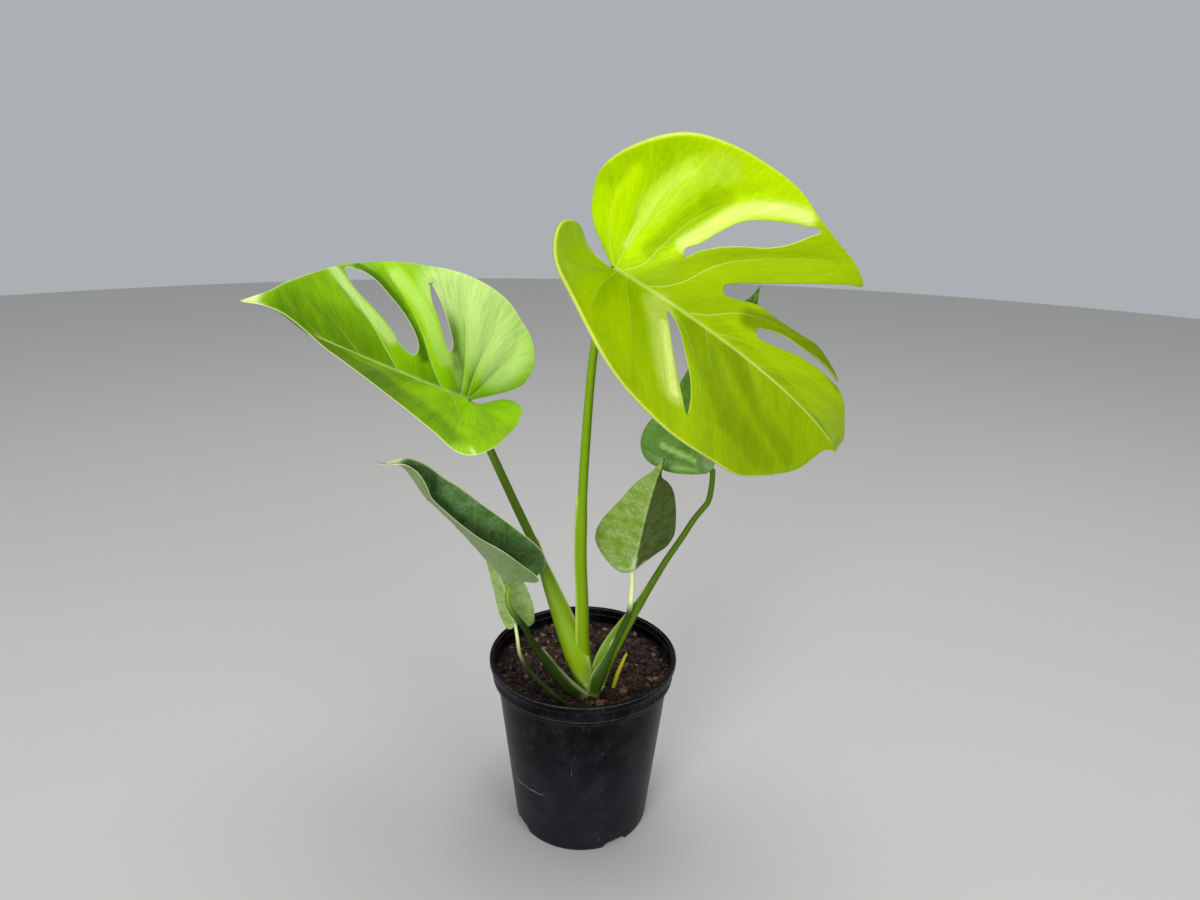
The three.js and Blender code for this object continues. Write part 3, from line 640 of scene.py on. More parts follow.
def piece(name, verts, faces, finish, marks=None, smooth_faces=True):
    """A mesh object, from points in millimetres. Its marks are what the finish reads at each point."""
    mesh = bpy.data.meshes.new(name)
    mesh.from_pydata((np.asarray(verts) * MM).tolist(), [], [list(map(int, f)) for f in faces])
    mesh.validate()
    for key, values in (marks or {}).items():
        values = np.asarray(values, np.float32)
        kind = "FLOAT_VECTOR" if values.ndim == 2 else "FLOAT"
        layer = mesh.attributes.new(key, kind, "POINT")
        layer.data.foreach_set("vector" if values.ndim == 2 else "value", values.ravel())
    if smooth_faces:
        mesh.shade_smooth()
    mesh.materials.append(finish)
    thing = bpy.data.objects.new(name, mesh)
    bpy.context.scene.collection.objects.link(thing)
    return thing


def leaf_piece(name, finish):
    leaf = Leaf(LEAVES[name])
    flat, faces, sign, skin = blade(leaf)
    rim, vein, strength = skin["rim"], skin["vein"], 1 - VEIN_FADE * skin["out"]
    across, along = flat.T
    normal = leaf.normal(across, along, sign)
    lift = relief(leaf, flat, skin, strength)
    middle = leaf.bend(across, along, sign) + normal * lift[:, None]
    share = np.clip(along / leaf.length, 0, 1)
    edge = rim < ON_RIM
    thick = HALF_THICK * np.sqrt(np.clip(rim / RIM_ROUND, 0, 1))
    high, less_high, wide, less_wide = UNDER_RIB
    veined = 1 if "veins" in leaf.shape["right"] else PLAIN_VEIN
    rib = (high - less_high * share) * bell(across, wide - less_wide * share) * smooth(along, -3, 2)
    rib = rib * (0.4 + 0.6 * veined)
    side_rib = UNDER_VEIN[0] * veined * strength * bell(vein, UNDER_VEIN[1]) * smooth(rim, 0, 3)
    upper = middle + normal * thick[:, None]
    lower = middle - normal * (thick + np.where(edge, 0, np.maximum(rib, side_rib)))[:, None]

    # The two faces share the points of the rim.
    inner = np.flatnonzero(~edge)
    below = np.arange(len(flat))
    below[inner] = len(flat) + np.arange(len(inner))
    verts = np.vstack([upper, lower[inner]])
    both = np.vstack([faces, below[faces][:, ::-1]])
    order = np.concatenate([np.arange(len(flat)), inner])
    face_side = np.concatenate([np.where(edge, 0, 1), np.full(len(inner), -1)])

    between, out = grain(flat)
    late = smooth(between / leaf.length, 0.36, 0.5)
    # Painted light and shade: the skin between two side veins is lighter next to one vein and darker next to
    # the other, fading out along the blade.
    painted_band = np.tanh(2 * (2 * skin["between"] - 1)) * (0.3 + 0.7 * smooth(skin["outer"], 0, 18))
    # Painted shade in each side vein's groove: a dark strip just tip-ward of the vein.
    beside = (skin["between"] < 0.5) * smooth(vein, 0.2, 1.1) * (1 - smooth(vein, 1.2, 3.2))
    marks = {
        "flat": np.stack([across, along, share * 100], axis=1),
        "grain": np.stack([between, out, sign * 10], axis=1),
        "lines": np.stack([vein, rim, np.abs(across) / (1.25 - share)], axis=1),
        "sides": np.stack([painted_band * (1 - late), beside, skin["out"] + 0.5 * late], axis=1),
        "glint": strips(leaf, "glints", flat),
        "shadow": strips(leaf, "shadows", flat),
    }
    marks = {key: values[order] for key, values in marks.items()}
    marks["upper"] = face_side
    thing = piece(f"{name}_blade_skin", verts, both, finish, marks)
    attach(thing, "root")
    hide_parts(f"{name}_blade")


# ---------------------------------------------------------------- stalks

class Stem:
    """A stalk's centre line with its directions, as the part's source lays it out."""
    def __init__(self, path, sizes):
        self.line = catmull(path)
        self.reach = travelled(self.line)
        self.length = self.reach[-1]
        self.heading = unit(np.gradient(self.line, axis=0))
        self.sizes = np.array(sizes, float)

    def ring(self, share):
        """The centre, the sideways and depth directions, and the two half sizes."""
        share = np.asarray(share, float)
        centre = at_distance(self.line, self.reach, share * self.length)
        heading = unit(at_distance(self.heading, self.reach, share * self.length))
        depth = unit(np.array([0, 1, 0]) - heading[..., 1:2] * heading)
        wide = np.cross(depth, heading)
        half_wide, half_deep = (np.interp(share, self.sizes[:, 0], self.sizes[:, k]) for k in (1, 2))
        return centre, wide, depth, half_wide, half_deep


def turns_round(sides):
    return np.arange(sides) * 2 * math.pi / sides


def ring_points(radius, height, sides):
    return [(radius * math.cos(turn), radius * math.sin(turn), height) for turn in turns_round(sides)]


def tube_faces(rings, sides, start=0, inward=False):
    """The faces round a tube, from its rings of points."""
    faces = []
    for i in range(rings - 1):
        for j in range(sides):
            k = (j + 1) % sides
            a, b = start + i * sides, start + (i + 1) * sides
            faces.append((a + j, b + j, b + k, a + k) if inward else (a + j, a + k, b + k, b + j))
    return faces


def capped_tube(rings, sides, start=0):
    """The same, with a face over either end."""
    first = tuple(range(start, start + sides))
    last = tuple(k + (rings - 1) * sides for k in first)
    return tube_faces(rings, sides, start) + [first[::-1], last]


# Each stalk has its centre line, its [share of the length, half width, half depth] and the thin
# edges of its sheath: (angle, last angle, start, end, height, side), angles from the right round
# to the back.
STALKS = {
    "top_leaf": {
        "path": [(5, -31, 152), (0, -28, 186), (-1, -25, 223), (-3, -20, 271), (-2, -14, 317),
                 (0, -9, 364), (5, -2, 434), (11, 3, 471), (16.5, 1, 496)],
        "sizes": [(0, 6.8, 6), (0.1, 6.4, 5.6), (0.2, 5.5, 5), (0.4, 5, 4.6), (0.46, 4, 3.8),
                  (0.75, 3.5, 3.4), (1, 2.7, 2.7)],
        "ridges": [(222, 200, 0, 0.48, 1.1, -1)],
    },
    "left_leaf": {
        "path": [(4, -32, 152), (-6, -28, 181), (-18, -16, 209), (-30, -4, 234), (-42, 8, 260),
                 (-61, 24, 294), (-84, 40, 338), (-96, 46, 362), (-101.5, 47, 376)],
        "sizes": [(0, 9, 8), (0.1, 10.5, 8), (0.22, 9.5, 7), (0.32, 7, 5.5), (0.42, 4, 3.8),
                  (0.6, 3.8, 3.7), (0.85, 3.6, 3.5), (1, 2.7, 2.7)],
        "ridges": [(-28, 12, 0.02, 0.5, 0.9, 1)],
    },
    "low_leaf": {
        "path": [(4, -42, 146), (-8, -44.5, 155.5), (-19, -45, 168), (-28, -45, 180.5), (-40, -48, 200),
                 (-47, -50, 217), (-56.6, -52, 232), (-60.3, -50, 243), (-60, -46, 250)],
        "sizes": [(0, 6, 5), (0.12, 6.8, 5.5), (0.25, 5.6, 5), (0.4, 4, 3.6), (0.6, 2.8, 2.6),
                  (1, 2, 2)],
        "ridges": [(-35, 10, 0, 0.5, 1.0, 1)],
    },
    "small_leaf": {
        "path": [(-4, -60, 144), (-13.5, -60, 151.5), (-25, -59, 162), (-38, -57, 176), (-46, -54.5, 184),
                 (-51, -52, 194), (-53, -49, 206), (-55, -46.5, 217)],
        "sizes": [(0, 2.8, 2.4), (0.3, 2.4, 2.2), (0.55, 1.7, 1.7), (1, 1.3, 1.3)],
        "ridges": [],
    },
    "upright_leaf": {
        "path": [(9, -43, 148), (13, -44.5, 167), (20, -41, 181), (25, -37.5, 191), (32, -32, 204),
                 (38.5, -25, 218), (40.5, -17, 231), (41, -8, 246)],
        "sizes": [(0, 5.5, 4.5), (0.18, 6.5, 5), (0.28, 4.6, 3.8), (0.38, 2.9, 2.6), (0.75, 2.2, 2.1),
                  (1, 1.8, 1.8)],
        "ridges": [(-150, -172, 0.04, 0.5, 0.8, -1)],
    },
    "rear_leaf": {
        "path": [(11, -31, 150), (20.4, -30, 180), (30.4, -25, 197), (40.3, -19, 211),
                 (49, -13, 222.5), (59.5, -8, 240), (70.5, -3, 258), (82.5, 2, 275.5),
                 (92.4, 6, 291), (99.2, 8, 299.5), (103.7, 9, 306), (106, 10.5, 320),
                 (106, 11.5, 333)],
        "sizes": [(0, 8, 5.5), (0.12, 8.2, 5.2), (0.2, 7.6, 5), (0.27, 6.2, 4.6), (0.34, 4.6, 4),
                  (0.42, 3.3, 3.2), (0.6, 2.7, 2.7), (1, 2.3, 2.3)],
        "ridges": [(-165, -175, 0.08, 0.46, 0.8, -1)],
    },
}
STALK_SIDES = 32
STALK_STEP = 2.4
STALK_SWELL = 0.02       # how much its thickness wanders
STALK_MARK = 4           # the radius that the finish takes it to have
SHEATH_FLARE = 16        # how far below its free end a sheath's edge starts to stand off
SHEATH_END = 4           # and over what length it then stops
EDGE_SLOPE = 0.35        # how an edge falls off on its broad and its steep side, round the stalk
EDGE_DROP = 0.06
EDGE_PALE = 0.28


def sheath_edges(ridges, share, turns, length):
    """How far a ring of the stalk stands out at its sheath's edges, and how pale it is there."""
    extra, pale = np.zeros(len(turns)), np.zeros(len(turns))
    for angle, last_angle, start, end, height, side in ridges:
        if not start <= share <= end:
            continue
        middle = math.radians(angle + (last_angle - angle) * (share - start) / (end - start))
        off = ((turns - middle + math.pi) % (2 * math.pi) - math.pi) * side
        left_over = (end - share) * length
        fade = min(1, left_over / SHEATH_END) * (1 + smooth(left_over, SHEATH_FLARE, SHEATH_END))
        extra += fade * height * np.where(off < 0, np.exp(off / EDGE_SLOPE), np.exp(-off / EDGE_DROP))
        pale += fade * bell(off, EDGE_PALE)
    return extra, pale


def stem_skin(name, stem, rings, sides, finish, form, mark_size):
    """A skin round a stem. Its form gives a ring's two half sizes and how pale the ring is."""
    turns = turns_round(sides)
    cos, sin, radius, length = np.cos(turns), np.sin(turns), *mark_size
    verts, marks = [], {"round": [], "share": [], "ridge": []}
    for share in np.linspace(0, 1, rings):
        centre, wide, depth, *halves = stem.ring(share)
        across, deep, pale = form(share, turns, *halves)
        verts.append(centre + (across * cos)[:, None] * wide + (deep * sin)[:, None] * depth)
        marks["round"].append(np.stack([cos * radius, sin * radius, np.full(sides, share * length)], axis=1))
        marks["share"].append(np.full(sides, share))
        marks["ridge"].append(pale)
    marks = {key: np.concatenate(values) for key, values in marks.items()}
    return piece(name, np.vstack(verts), capped_tube(rings, sides), finish, marks)


def stalk_piece(name, finish):
    shape = STALKS[name]
    stem = Stem(shape["path"][:-1] + LEAVES[name]["spine"][:1], shape["sizes"])

    def form(share, turns, half_wide, half_deep):
        left = (1 - share) * stem.length
        tip = math.sqrt(max(1 - (1 - min(left / half_wide, 1))**2, 0.02))
        swell = 1 + STALK_SWELL * noise.noise(Vector((share * 9, len(name), 1)))
        extra, pale = sheath_edges(shape["ridges"], share, turns, stem.length)
        return (half_wide * swell + extra) * tip, (half_deep * swell + extra) * tip, pale

    rings = round(stem.length / STALK_STEP)
    mark_size = (STALK_MARK, stem.length)
    thing = stem_skin(f"{name}_stalk_skin", stem, rings, STALK_SIDES, finish, form, mark_size)
    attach(thing, "root")
    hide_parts(f"{name}_petiole")


SHOOT_PATH = [(24, -32.6, 138), (26.7, -32.6, 149), (30, -33, 163), (37.3, -32.6, 184)]
SHOOT_SIZES = [(0, 1.9, 1.9), (0.6, 1.7, 1.7), (0.93, 1.2, 1.2), (1, 0.4, 0.4)]
SHOOT_RINGS = 36
SHOOT_SIDES = 20
SHOOT_SEAM = (5.2, 0.8, 0.22, 0.16)  # where round it the seam starts, how it turns, its width and depth
SHOOT_MARK = (1, 40)     # the radius and length that the finish takes it to have


def shoot_piece(finish):
    """The new shoot: a slim rolled leaf that comes out of the mix."""
    stem = Stem(SHOOT_PATH, SHOOT_SIZES)
    seam, twist, width, seam_depth = SHOOT_SEAM

    def form(share, turns, half_wide, half_deep):
        roll = 1 - seam_depth * bell(turns - seam + twist * share, width)
        return half_wide * roll, half_deep * roll, np.zeros(len(turns))

    thing = stem_skin("new_shoot_skin", stem, SHOOT_RINGS, SHOOT_SIDES, finish, form, SHOOT_MARK)
    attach(thing, "root")
    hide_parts("new_shoot")


CROWN_CENTRE = (7, -34, 145)
CROWN_HALF = (14, 10, 15)
CROWN_RINGS = 48
CROWN_SIDES = 64


def crown_piece(finish):
    """The short stem that the stalks stand on, with faint rings that old sheaths left."""
    verts = []
    for i in range(CROWN_RINGS):
        lift = -math.cos(math.pi * (i + 0.5) / CROWN_RINGS)
        wide = math.sqrt(1 - lift**2)
        scar = 0.006 * math.sin(lift * 20)
        for turn in turns_round(CROWN_SIDES):
            way = Vector((wide * math.cos(turn), wide * math.sin(turn), lift))
            bump = 1 + 0.015 * noise.noise(way * 2.5) + scar
            verts.append([CROWN_CENTRE[k] + CROWN_HALF[k] * way[k] * bump for k in range(3)])
    thing = piece("crown_skin", verts, capped_tube(CROWN_RINGS, CROWN_SIDES), finish)
    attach(thing, "root")
    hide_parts("crown")


# ---------------------------------------------------------------- pot

FOOT_RADIUS = 60.5
WALL_RADIUS_AT_BAND = 75.8
BAND_RADIUS = 80.2
RIM_RADIUS = 82.5
POT_HEIGHT = 164
BAND_BOTTOM = 144
LIP_BOTTOM = 157.5
WALL = 1.6
FLOOR = 2.4
DRAINS = 4
FIRST_DRAIN = -59        # degrees round from the right
DRAIN_WIDTH = 24
DRAIN_HEIGHT = 6
DRAIN_REACH = (FOOT_RADIUS - 5, FOOT_RADIUS + 6)
DRAIN_BELOW = -4         # where a drain's cutter ends, under the ground
DRAIN_STEPS = 24
POT_SIDES = 192
FOOT_HOLLOW = 0.8        # how far the middle of the foot stands off the ground


def wall_radius(height):
    return FOOT_RADIUS + (WALL_RADIUS_AT_BAND - FOOT_RADIUS) * height / BAND_BOTTOM


def pot_profile():
    """Half of the pot's section, from the foot up outside, round the lip and down inside."""
    inner = BAND_RADIUS - WALL
    outside = [
        (FOOT_RADIUS - 1.6, 0), (FOOT_RADIUS - 0.5, 0.3), (FOOT_RADIUS, 1.4),
    ]
    outside += [(wall_radius(h), h) for h in np.arange(4, BAND_BOTTOM - 4, 4)]
    outside += [
        (wall_radius(BAND_BOTTOM - 3.2), BAND_BOTTOM - 3.2),
        (wall_radius(BAND_BOTTOM) + 0.2, BAND_BOTTOM - 1.6),
        (WALL_RADIUS_AT_BAND + 1.4, BAND_BOTTOM - 0.5),
        (BAND_RADIUS - 1.4, BAND_BOTTOM), (BAND_RADIUS - 0.7, BAND_BOTTOM + 0.5),
        (BAND_RADIUS - 0.5, BAND_BOTTOM + 1.6),
        (BAND_RADIUS - 0.4, BAND_BOTTOM + 3.4), (BAND_RADIUS - 0.1, BAND_BOTTOM + 3.9),
        (BAND_RADIUS - 0.4, BAND_BOTTOM + 4.4),
        (BAND_RADIUS - 0.2, LIP_BOTTOM - 2.2), (BAND_RADIUS, LIP_BOTTOM - 0.9),
        (BAND_RADIUS + 1.0, LIP_BOTTOM - 0.1), (RIM_RADIUS - 0.9, LIP_BOTTOM + 0.2),
        (RIM_RADIUS - 0.2, LIP_BOTTOM + 1), (RIM_RADIUS, LIP_BOTTOM + 2.2),
        (RIM_RADIUS, POT_HEIGHT - 2), (RIM_RADIUS - 0.3, POT_HEIGHT - 0.9),
        (RIM_RADIUS - 1, POT_HEIGHT - 0.15), (RIM_RADIUS - 1.8, POT_HEIGHT),
    ]
    inside = [
        (inner + 0.9, POT_HEIGHT - 0.2), (inner + 0.3, POT_HEIGHT - 0.8),
        (inner, POT_HEIGHT - 2), (inner - 0.1, LIP_BOTTOM - 1), (inner - 0.3, LIP_BOTTOM - 1.5),
        (inner - 0.1, LIP_BOTTOM - 2), (inner - 0.3, 152), (inner - 0.6, BAND_BOTTOM + 1),
        (wall_radius(BAND_BOTTOM - 2) - WALL, BAND_BOTTOM - 2),
    ]
    inside += [(wall_radius(h) - WALL, h) for h in np.arange(BAND_BOTTOM - 12, FLOOR + 4, -12)]
    inside += [(wall_radius(FLOOR) - WALL, FLOOR + 1), (wall_radius(FLOOR) - WALL - 1, FLOOR)]
    return outside + inside


def drain_cutter(turn, finish):
    """A low arch through the wall at the foot."""
    out = np.array([math.cos(turn), math.sin(turn), 0])
    side = np.array([-math.sin(turn), math.cos(turn), 0])
    up = np.array([0, 0, 1])
    half = DRAIN_WIDTH / 2
    shares = np.linspace(-1, 1, DRAIN_STEPS + 1)
    arch = [(share * half, DRAIN_HEIGHT * (1 - share**4) - 0.001) for share in shares]
    arch += [(half, DRAIN_BELOW), (-half, DRAIN_BELOW)]
    ring = [out * reach + side * across + up * height for reach in DRAIN_REACH for across, height in arch]
    size = len(arch)
    faces = [tuple(range(size)), tuple(range(size, 2 * size))[::-1]]
    faces += [(i, i + size, (i + 1) % size + size, (i + 1) % size) for i in range(size)]
    return piece("drain_cut", ring, faces, finish)


def pot_piece(finish):
    profile = pot_profile()
    verts = [point for radius, height in profile for point in ring_points(radius, height, POT_SIDES)]
    faces = tube_faces(len(profile), POT_SIDES)
    centre_out, centre_in = len(verts), len(verts) + 1
    verts += [(0, 0, FOOT_HOLLOW), (0, 0, FLOOR)]
    last = (len(profile) - 1) * POT_SIDES
    for j in range(POT_SIDES):
        k = (j + 1) % POT_SIDES
        faces.append((j, centre_out, k))
        faces.append((last + j, last + k, centre_in))
    thing = piece("nursery_pot_shell", verts, faces, finish)
    first = math.radians(FIRST_DRAIN)
    cutters = [drain_cutter(first + turn, finish) for turn in turns_round(DRAINS)]
    for cutter in cutters:
        modifier = thing.modifiers.new("drain", "BOOLEAN")
        modifier.operation = "DIFFERENCE"
        modifier.solver = "EXACT"
        modifier.object = cutter
    bpy.context.view_layer.update()
    cut = thing.evaluated_get(bpy.context.evaluated_depsgraph_get())
    mesh = bpy.data.meshes.new_from_object(cut)
    thing.modifiers.clear()
    thing.data = mesh
    for cutter in cutters:
        bpy.data.objects.remove(cutter)
    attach(thing, "root")
    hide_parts("nursery_pot")


# ---------------------------------------------------------------- potting mix

SOIL_EDGE = BAND_RADIUS - WALL - 0.7
SOIL_HEIGHT = 146
SOIL_MOUND = 4
SOIL_WAVES = 1.6
SOIL_ROUGH = ((2, 7), (1.1, 3), (0.7, 1.3))      # how much, and how wide its bumps are
SOIL_RINGS = 90
SOIL_SIDES = 220
SOIL_GAP = 0.3           # between the mix and the wall below its top
SOIL_BELOW = (BAND_BOTTOM - 2, FLOOR + 0.5)


def waves(x, y):
    return (math.sin(x * 0.21 + y * 0.13) + math.sin(y * 0.27 - x * 0.08) + math.sin(x * 0.4) / 2) / 2


def soil_height(x, y):
    share = min(math.hypot(x, y) / SOIL_EDGE, 1)
    rise = SOIL_HEIGHT + SOIL_MOUND * math.cos(share * math.pi / 2) + SOIL_WAVES * waves(x, y)
    return rise + sum(much * noise.noise(Vector((x, y, 0)) / wide) for much, wide in SOIL_ROUGH)


def soil_piece(finish):
    verts = [(0, 0, soil_height(0, 0))]
    for i in range(1, SOIL_RINGS + 1):
        ring = ring_points(SOIL_EDGE * i / SOIL_RINGS, 0, SOIL_SIDES)
        verts += [(x, y, soil_height(x, y)) for x, y, _ in ring]
    for height in SOIL_BELOW:
        verts += ring_points(wall_radius(height) - WALL - SOIL_GAP, height, SOIL_SIDES)
    verts.append((0, 0, SOIL_BELOW[-1]))
    last = len(verts) - 1
    faces = tube_faces(SOIL_RINGS + len(SOIL_BELOW), SOIL_SIDES, 1, inward=True)
    for j in range(SOIL_SIDES):
        k = (j + 1) % SOIL_SIDES
        faces += [(0, 1 + j, 1 + k), (last - SOIL_SIDES + k, last - SOIL_SIDES + j, last)]
    thing = piece("potting_mix", verts, faces, finish)
    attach(thing, "root")
    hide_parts("soil")


ANY_WAY = 6.3            # about a full turn
GOLD = (1 + math.sqrt(5)) / 2
LUMP_POINTS = [Vector(v).normalized() for v in (
    (-1, GOLD, 0), (1, GOLD, 0), (-1, -GOLD, 0), (1, -GOLD, 0), (0, -1, GOLD), (0, 1, GOLD),
    (0, -1, -GOLD), (0, 1, -GOLD), (GOLD, 0, -1), (GOLD, 0, 1), (-GOLD, 0, -1), (-GOLD, 0, 1))]
LUMP_FACES = (
    (0, 11, 5), (0, 5, 1), (0, 1, 7), (0, 7, 10), (0, 10, 11), (1, 5, 9), (5, 11, 4), (11, 10, 2),
    (10, 7, 6), (7, 1, 8), (3, 9, 4), (3, 4, 2), (3, 2, 6), (3, 6, 8), (3, 8, 9), (4, 9, 5),
    (2, 4, 11), (6, 2, 10), (8, 6, 7), (9, 8, 1))
LUMP_TILT = 0.7
FIBRE_STEPS = 7
FIBRE_SIDES = 5


def spot_on_mix(rng, margin):
    """A random place on the mix, off its edge by the margin."""
    radius = (SOIL_EDGE - margin) * math.sqrt(rng.random())
    turn = rng.uniform(0, 2 * math.pi)
    return radius * math.cos(turn), radius * math.sin(turn)


def crumb_piece(name, finish, seed, count, low, high, flatness):
    """Many small broken lumps, pressed into the top of the mix. Most are near the low size."""
    rng = random.Random(seed)
    verts, faces, tints = [], [], []
    for _ in range(count):
        x, y = spot_on_mix(rng, 2)
        size = low + (high - low) * rng.random()**2.5
        spin = Matrix.Rotation(rng.uniform(0, ANY_WAY), 3, "Z")
        spin = spin @ Matrix.Rotation(rng.uniform(-LUMP_TILT, LUMP_TILT), 3, "X")
        centre = Vector((x, y, soil_height(x, y) + size * flatness * 0.3))
        stretch = Vector((rng.uniform(0.7, 1.5), rng.uniform(0.6, 1), flatness * rng.uniform(0.7, 1.2)))
        tints += [rng.random()] * len(LUMP_POINTS)
        faces += [tuple(len(verts) + k for k in face) for face in LUMP_FACES]
        for corner in LUMP_POINTS:
            point = Vector(corner[k] * stretch[k] * size * rng.uniform(0.72, 1.15) for k in range(3))
            verts.append(tuple(spin @ point + centre))
    thing = piece(name, verts, faces, finish, {"tint": tints}, smooth_faces=False)
    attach(thing, "root")


def fibre_piece(name, finish, seed, count, longest):
    """Loose coir fibres and fine roots, lying on the mix."""
    rng = random.Random(seed)
    verts, faces, tints = [], [], []
    turns = turns_round(FIBRE_SIDES)[:, None]
    for _ in range(count):
        x, y = spot_on_mix(rng, 6)
        way, bend = rng.uniform(0, ANY_WAY), rng.uniform(-0.25, 0.25)
        length, thick, tint = rng.uniform(3, longest), rng.uniform(0.14, 0.38), rng.random()
        lift = rng.uniform(0, 1.6)
        line = []
        for i in range(FIBRE_STEPS):
            if math.hypot(x, y) > SOIL_EDGE - 1:
                break
            hump = math.sin(math.pi * i / (FIBRE_STEPS - 1))
            line.append((x, y, soil_height(x, y) + thick + lift * hump))
            x += math.cos(way) * length / FIBRE_STEPS
            y += math.sin(way) * length / FIBRE_STEPS
            way += bend
        if len(line) < 4:
            continue
        stem = Stem(line, [(0, thick, thick), (1, thick * 0.5, thick * 0.5)])
        faces += capped_tube(FIBRE_STEPS, FIBRE_SIDES, len(verts))
        for share in np.linspace(0, 1, FIBRE_STEPS):
            centre, wide, depth, half, _ = stem.ring(share)
            verts += list(centre + half * (np.cos(turns) * wide + np.sin(turns) * depth))
        tints += [tint] * (FIBRE_STEPS * FIBRE_SIDES)
    thing = piece(name, verts, faces, finish, {"tint": tints})
    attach(thing, "root")


# ---------------------------------------------------------------- finishes

def colour(red, green, blue):
    """A colour from its sRGB values, 0 to 255."""
    values = (v / 255 for v in (red, green, blue))
    return tuple(v / 12.92 if v <= 0.04045 else ((v + 0.055) / 1.055)**2.4 for v in values) + (1,)


class Finish:
    """A node material on one Principled shader. Each method adds a node and gives its output."""
    def __init__(self, name, **constants):
        self.material = bpy.data.materials.new(name)
        self.material.use_nodes = True
        self.tree = self.material.node_tree
        self.shader = self.tree.nodes["Principled BSDF"]
        for key, value in constants.items():
            self.shader.inputs[key.replace("_", " ")].default_value = value

    def join(self, source, target):
        self.tree.links.new(source, target)

    def node(self, kind, inputs, **settings):
        node = self.tree.nodes.new(kind)
        for key, value in settings.items():
            setattr(node, key, value)
        for key, value in inputs.items():
            if isinstance(value, bpy.types.NodeSocket):
                self.join(value, node.inputs[key])
            else:
                node.inputs[key].default_value = value
        return node

    def mark(self, name):
        return self.node("ShaderNodeAttribute", {}, attribute_name=name).outputs["Vector"]

    def value(self, name):
        return self.node("ShaderNodeAttribute", {}, attribute_name=name).outputs["Fac"]

    def parts(self, vector):
        return self.node("ShaderNodeSeparateXYZ", {0: vector}).outputs

    def place(self):
        """Where the surface is, in millimetres."""
        here = self.node("ShaderNodeTexCoord", {}).outputs["Object"]
        return self.scaled(here, (1000, 1000, 1000))

    def scaled(self, vector, scale):
        return self.node("ShaderNodeVectorMath", {0: vector, 1: scale}, operation="MULTIPLY").outputs[0]

    def math(self, operation, *values):
        return self.node("ShaderNodeMath", dict(enumerate(values)), operation=operation).outputs[0]

    def times(self, first, second):
        return self.math("MULTIPLY", first, second)

    def linear(self, value, slope, base):
        return self.math("MULTIPLY_ADD", value, slope, base)

    def off(self, value, line):
        """How far the value is from the line, to either side."""
        return self.math("ABSOLUTE", self.math("SUBTRACT", value, line))

    def span(self, value, low, high):
        """0 at low and 1 at high, with soft ends."""
        node = self.node("ShaderNodeMapRange", {"Value": value, "From Min": low, "From Max": high},
                         interpolation_type="SMOOTHSTEP")
        return node.outputs["Result"]

    def noise(self, vector, size, detail, rough, warp=0):
        """Noise whose blobs are about the given size."""
        inputs = {"Vector": vector, "Scale": 1 / size, "Detail": detail, "Roughness": rough,
                  "Distortion": warp}
        return self.node("ShaderNodeTexNoise", inputs).outputs["Fac"]

    def pick(self, on_right, pair):
        """The first of a pair of values on the right half, and the second on the left."""
        return self.linear(on_right, self.math("SUBTRACT", pair[0], pair[1]), pair[1])

    def mix(self, share, low, high):
        return self.node("ShaderNodeMix", {0: share, 6: low, 7: high}, data_type="RGBA").outputs[2]

    def coat(self, skin, tone, cover, share=None):
        """The skin with a tone over it where the cover is, at a share of its strength."""
        return self.mix(cover if share is None else self.times(cover, share), skin, tone)

    def bump(self, height, depth):
        """Relief of a given depth in millimetres."""
        inputs = {"Height": height, "Distance": depth * MM, "Strength": 1}
        return self.node("ShaderNodeBump", inputs).outputs["Normal"]

    def wear(self, base, roughness, normal):
        """Joins what was built to the shader, and gives the material."""
        self.join(base, self.shader.inputs["Base Color"])
        self.join(roughness, self.shader.inputs["Roughness"])
        self.join(normal, self.shader.inputs["Normal"])
        return self.material


BLACK = colour(0, 0, 0)
EVEN = (0, 0, 5, 25)     # a half that isn't darkened


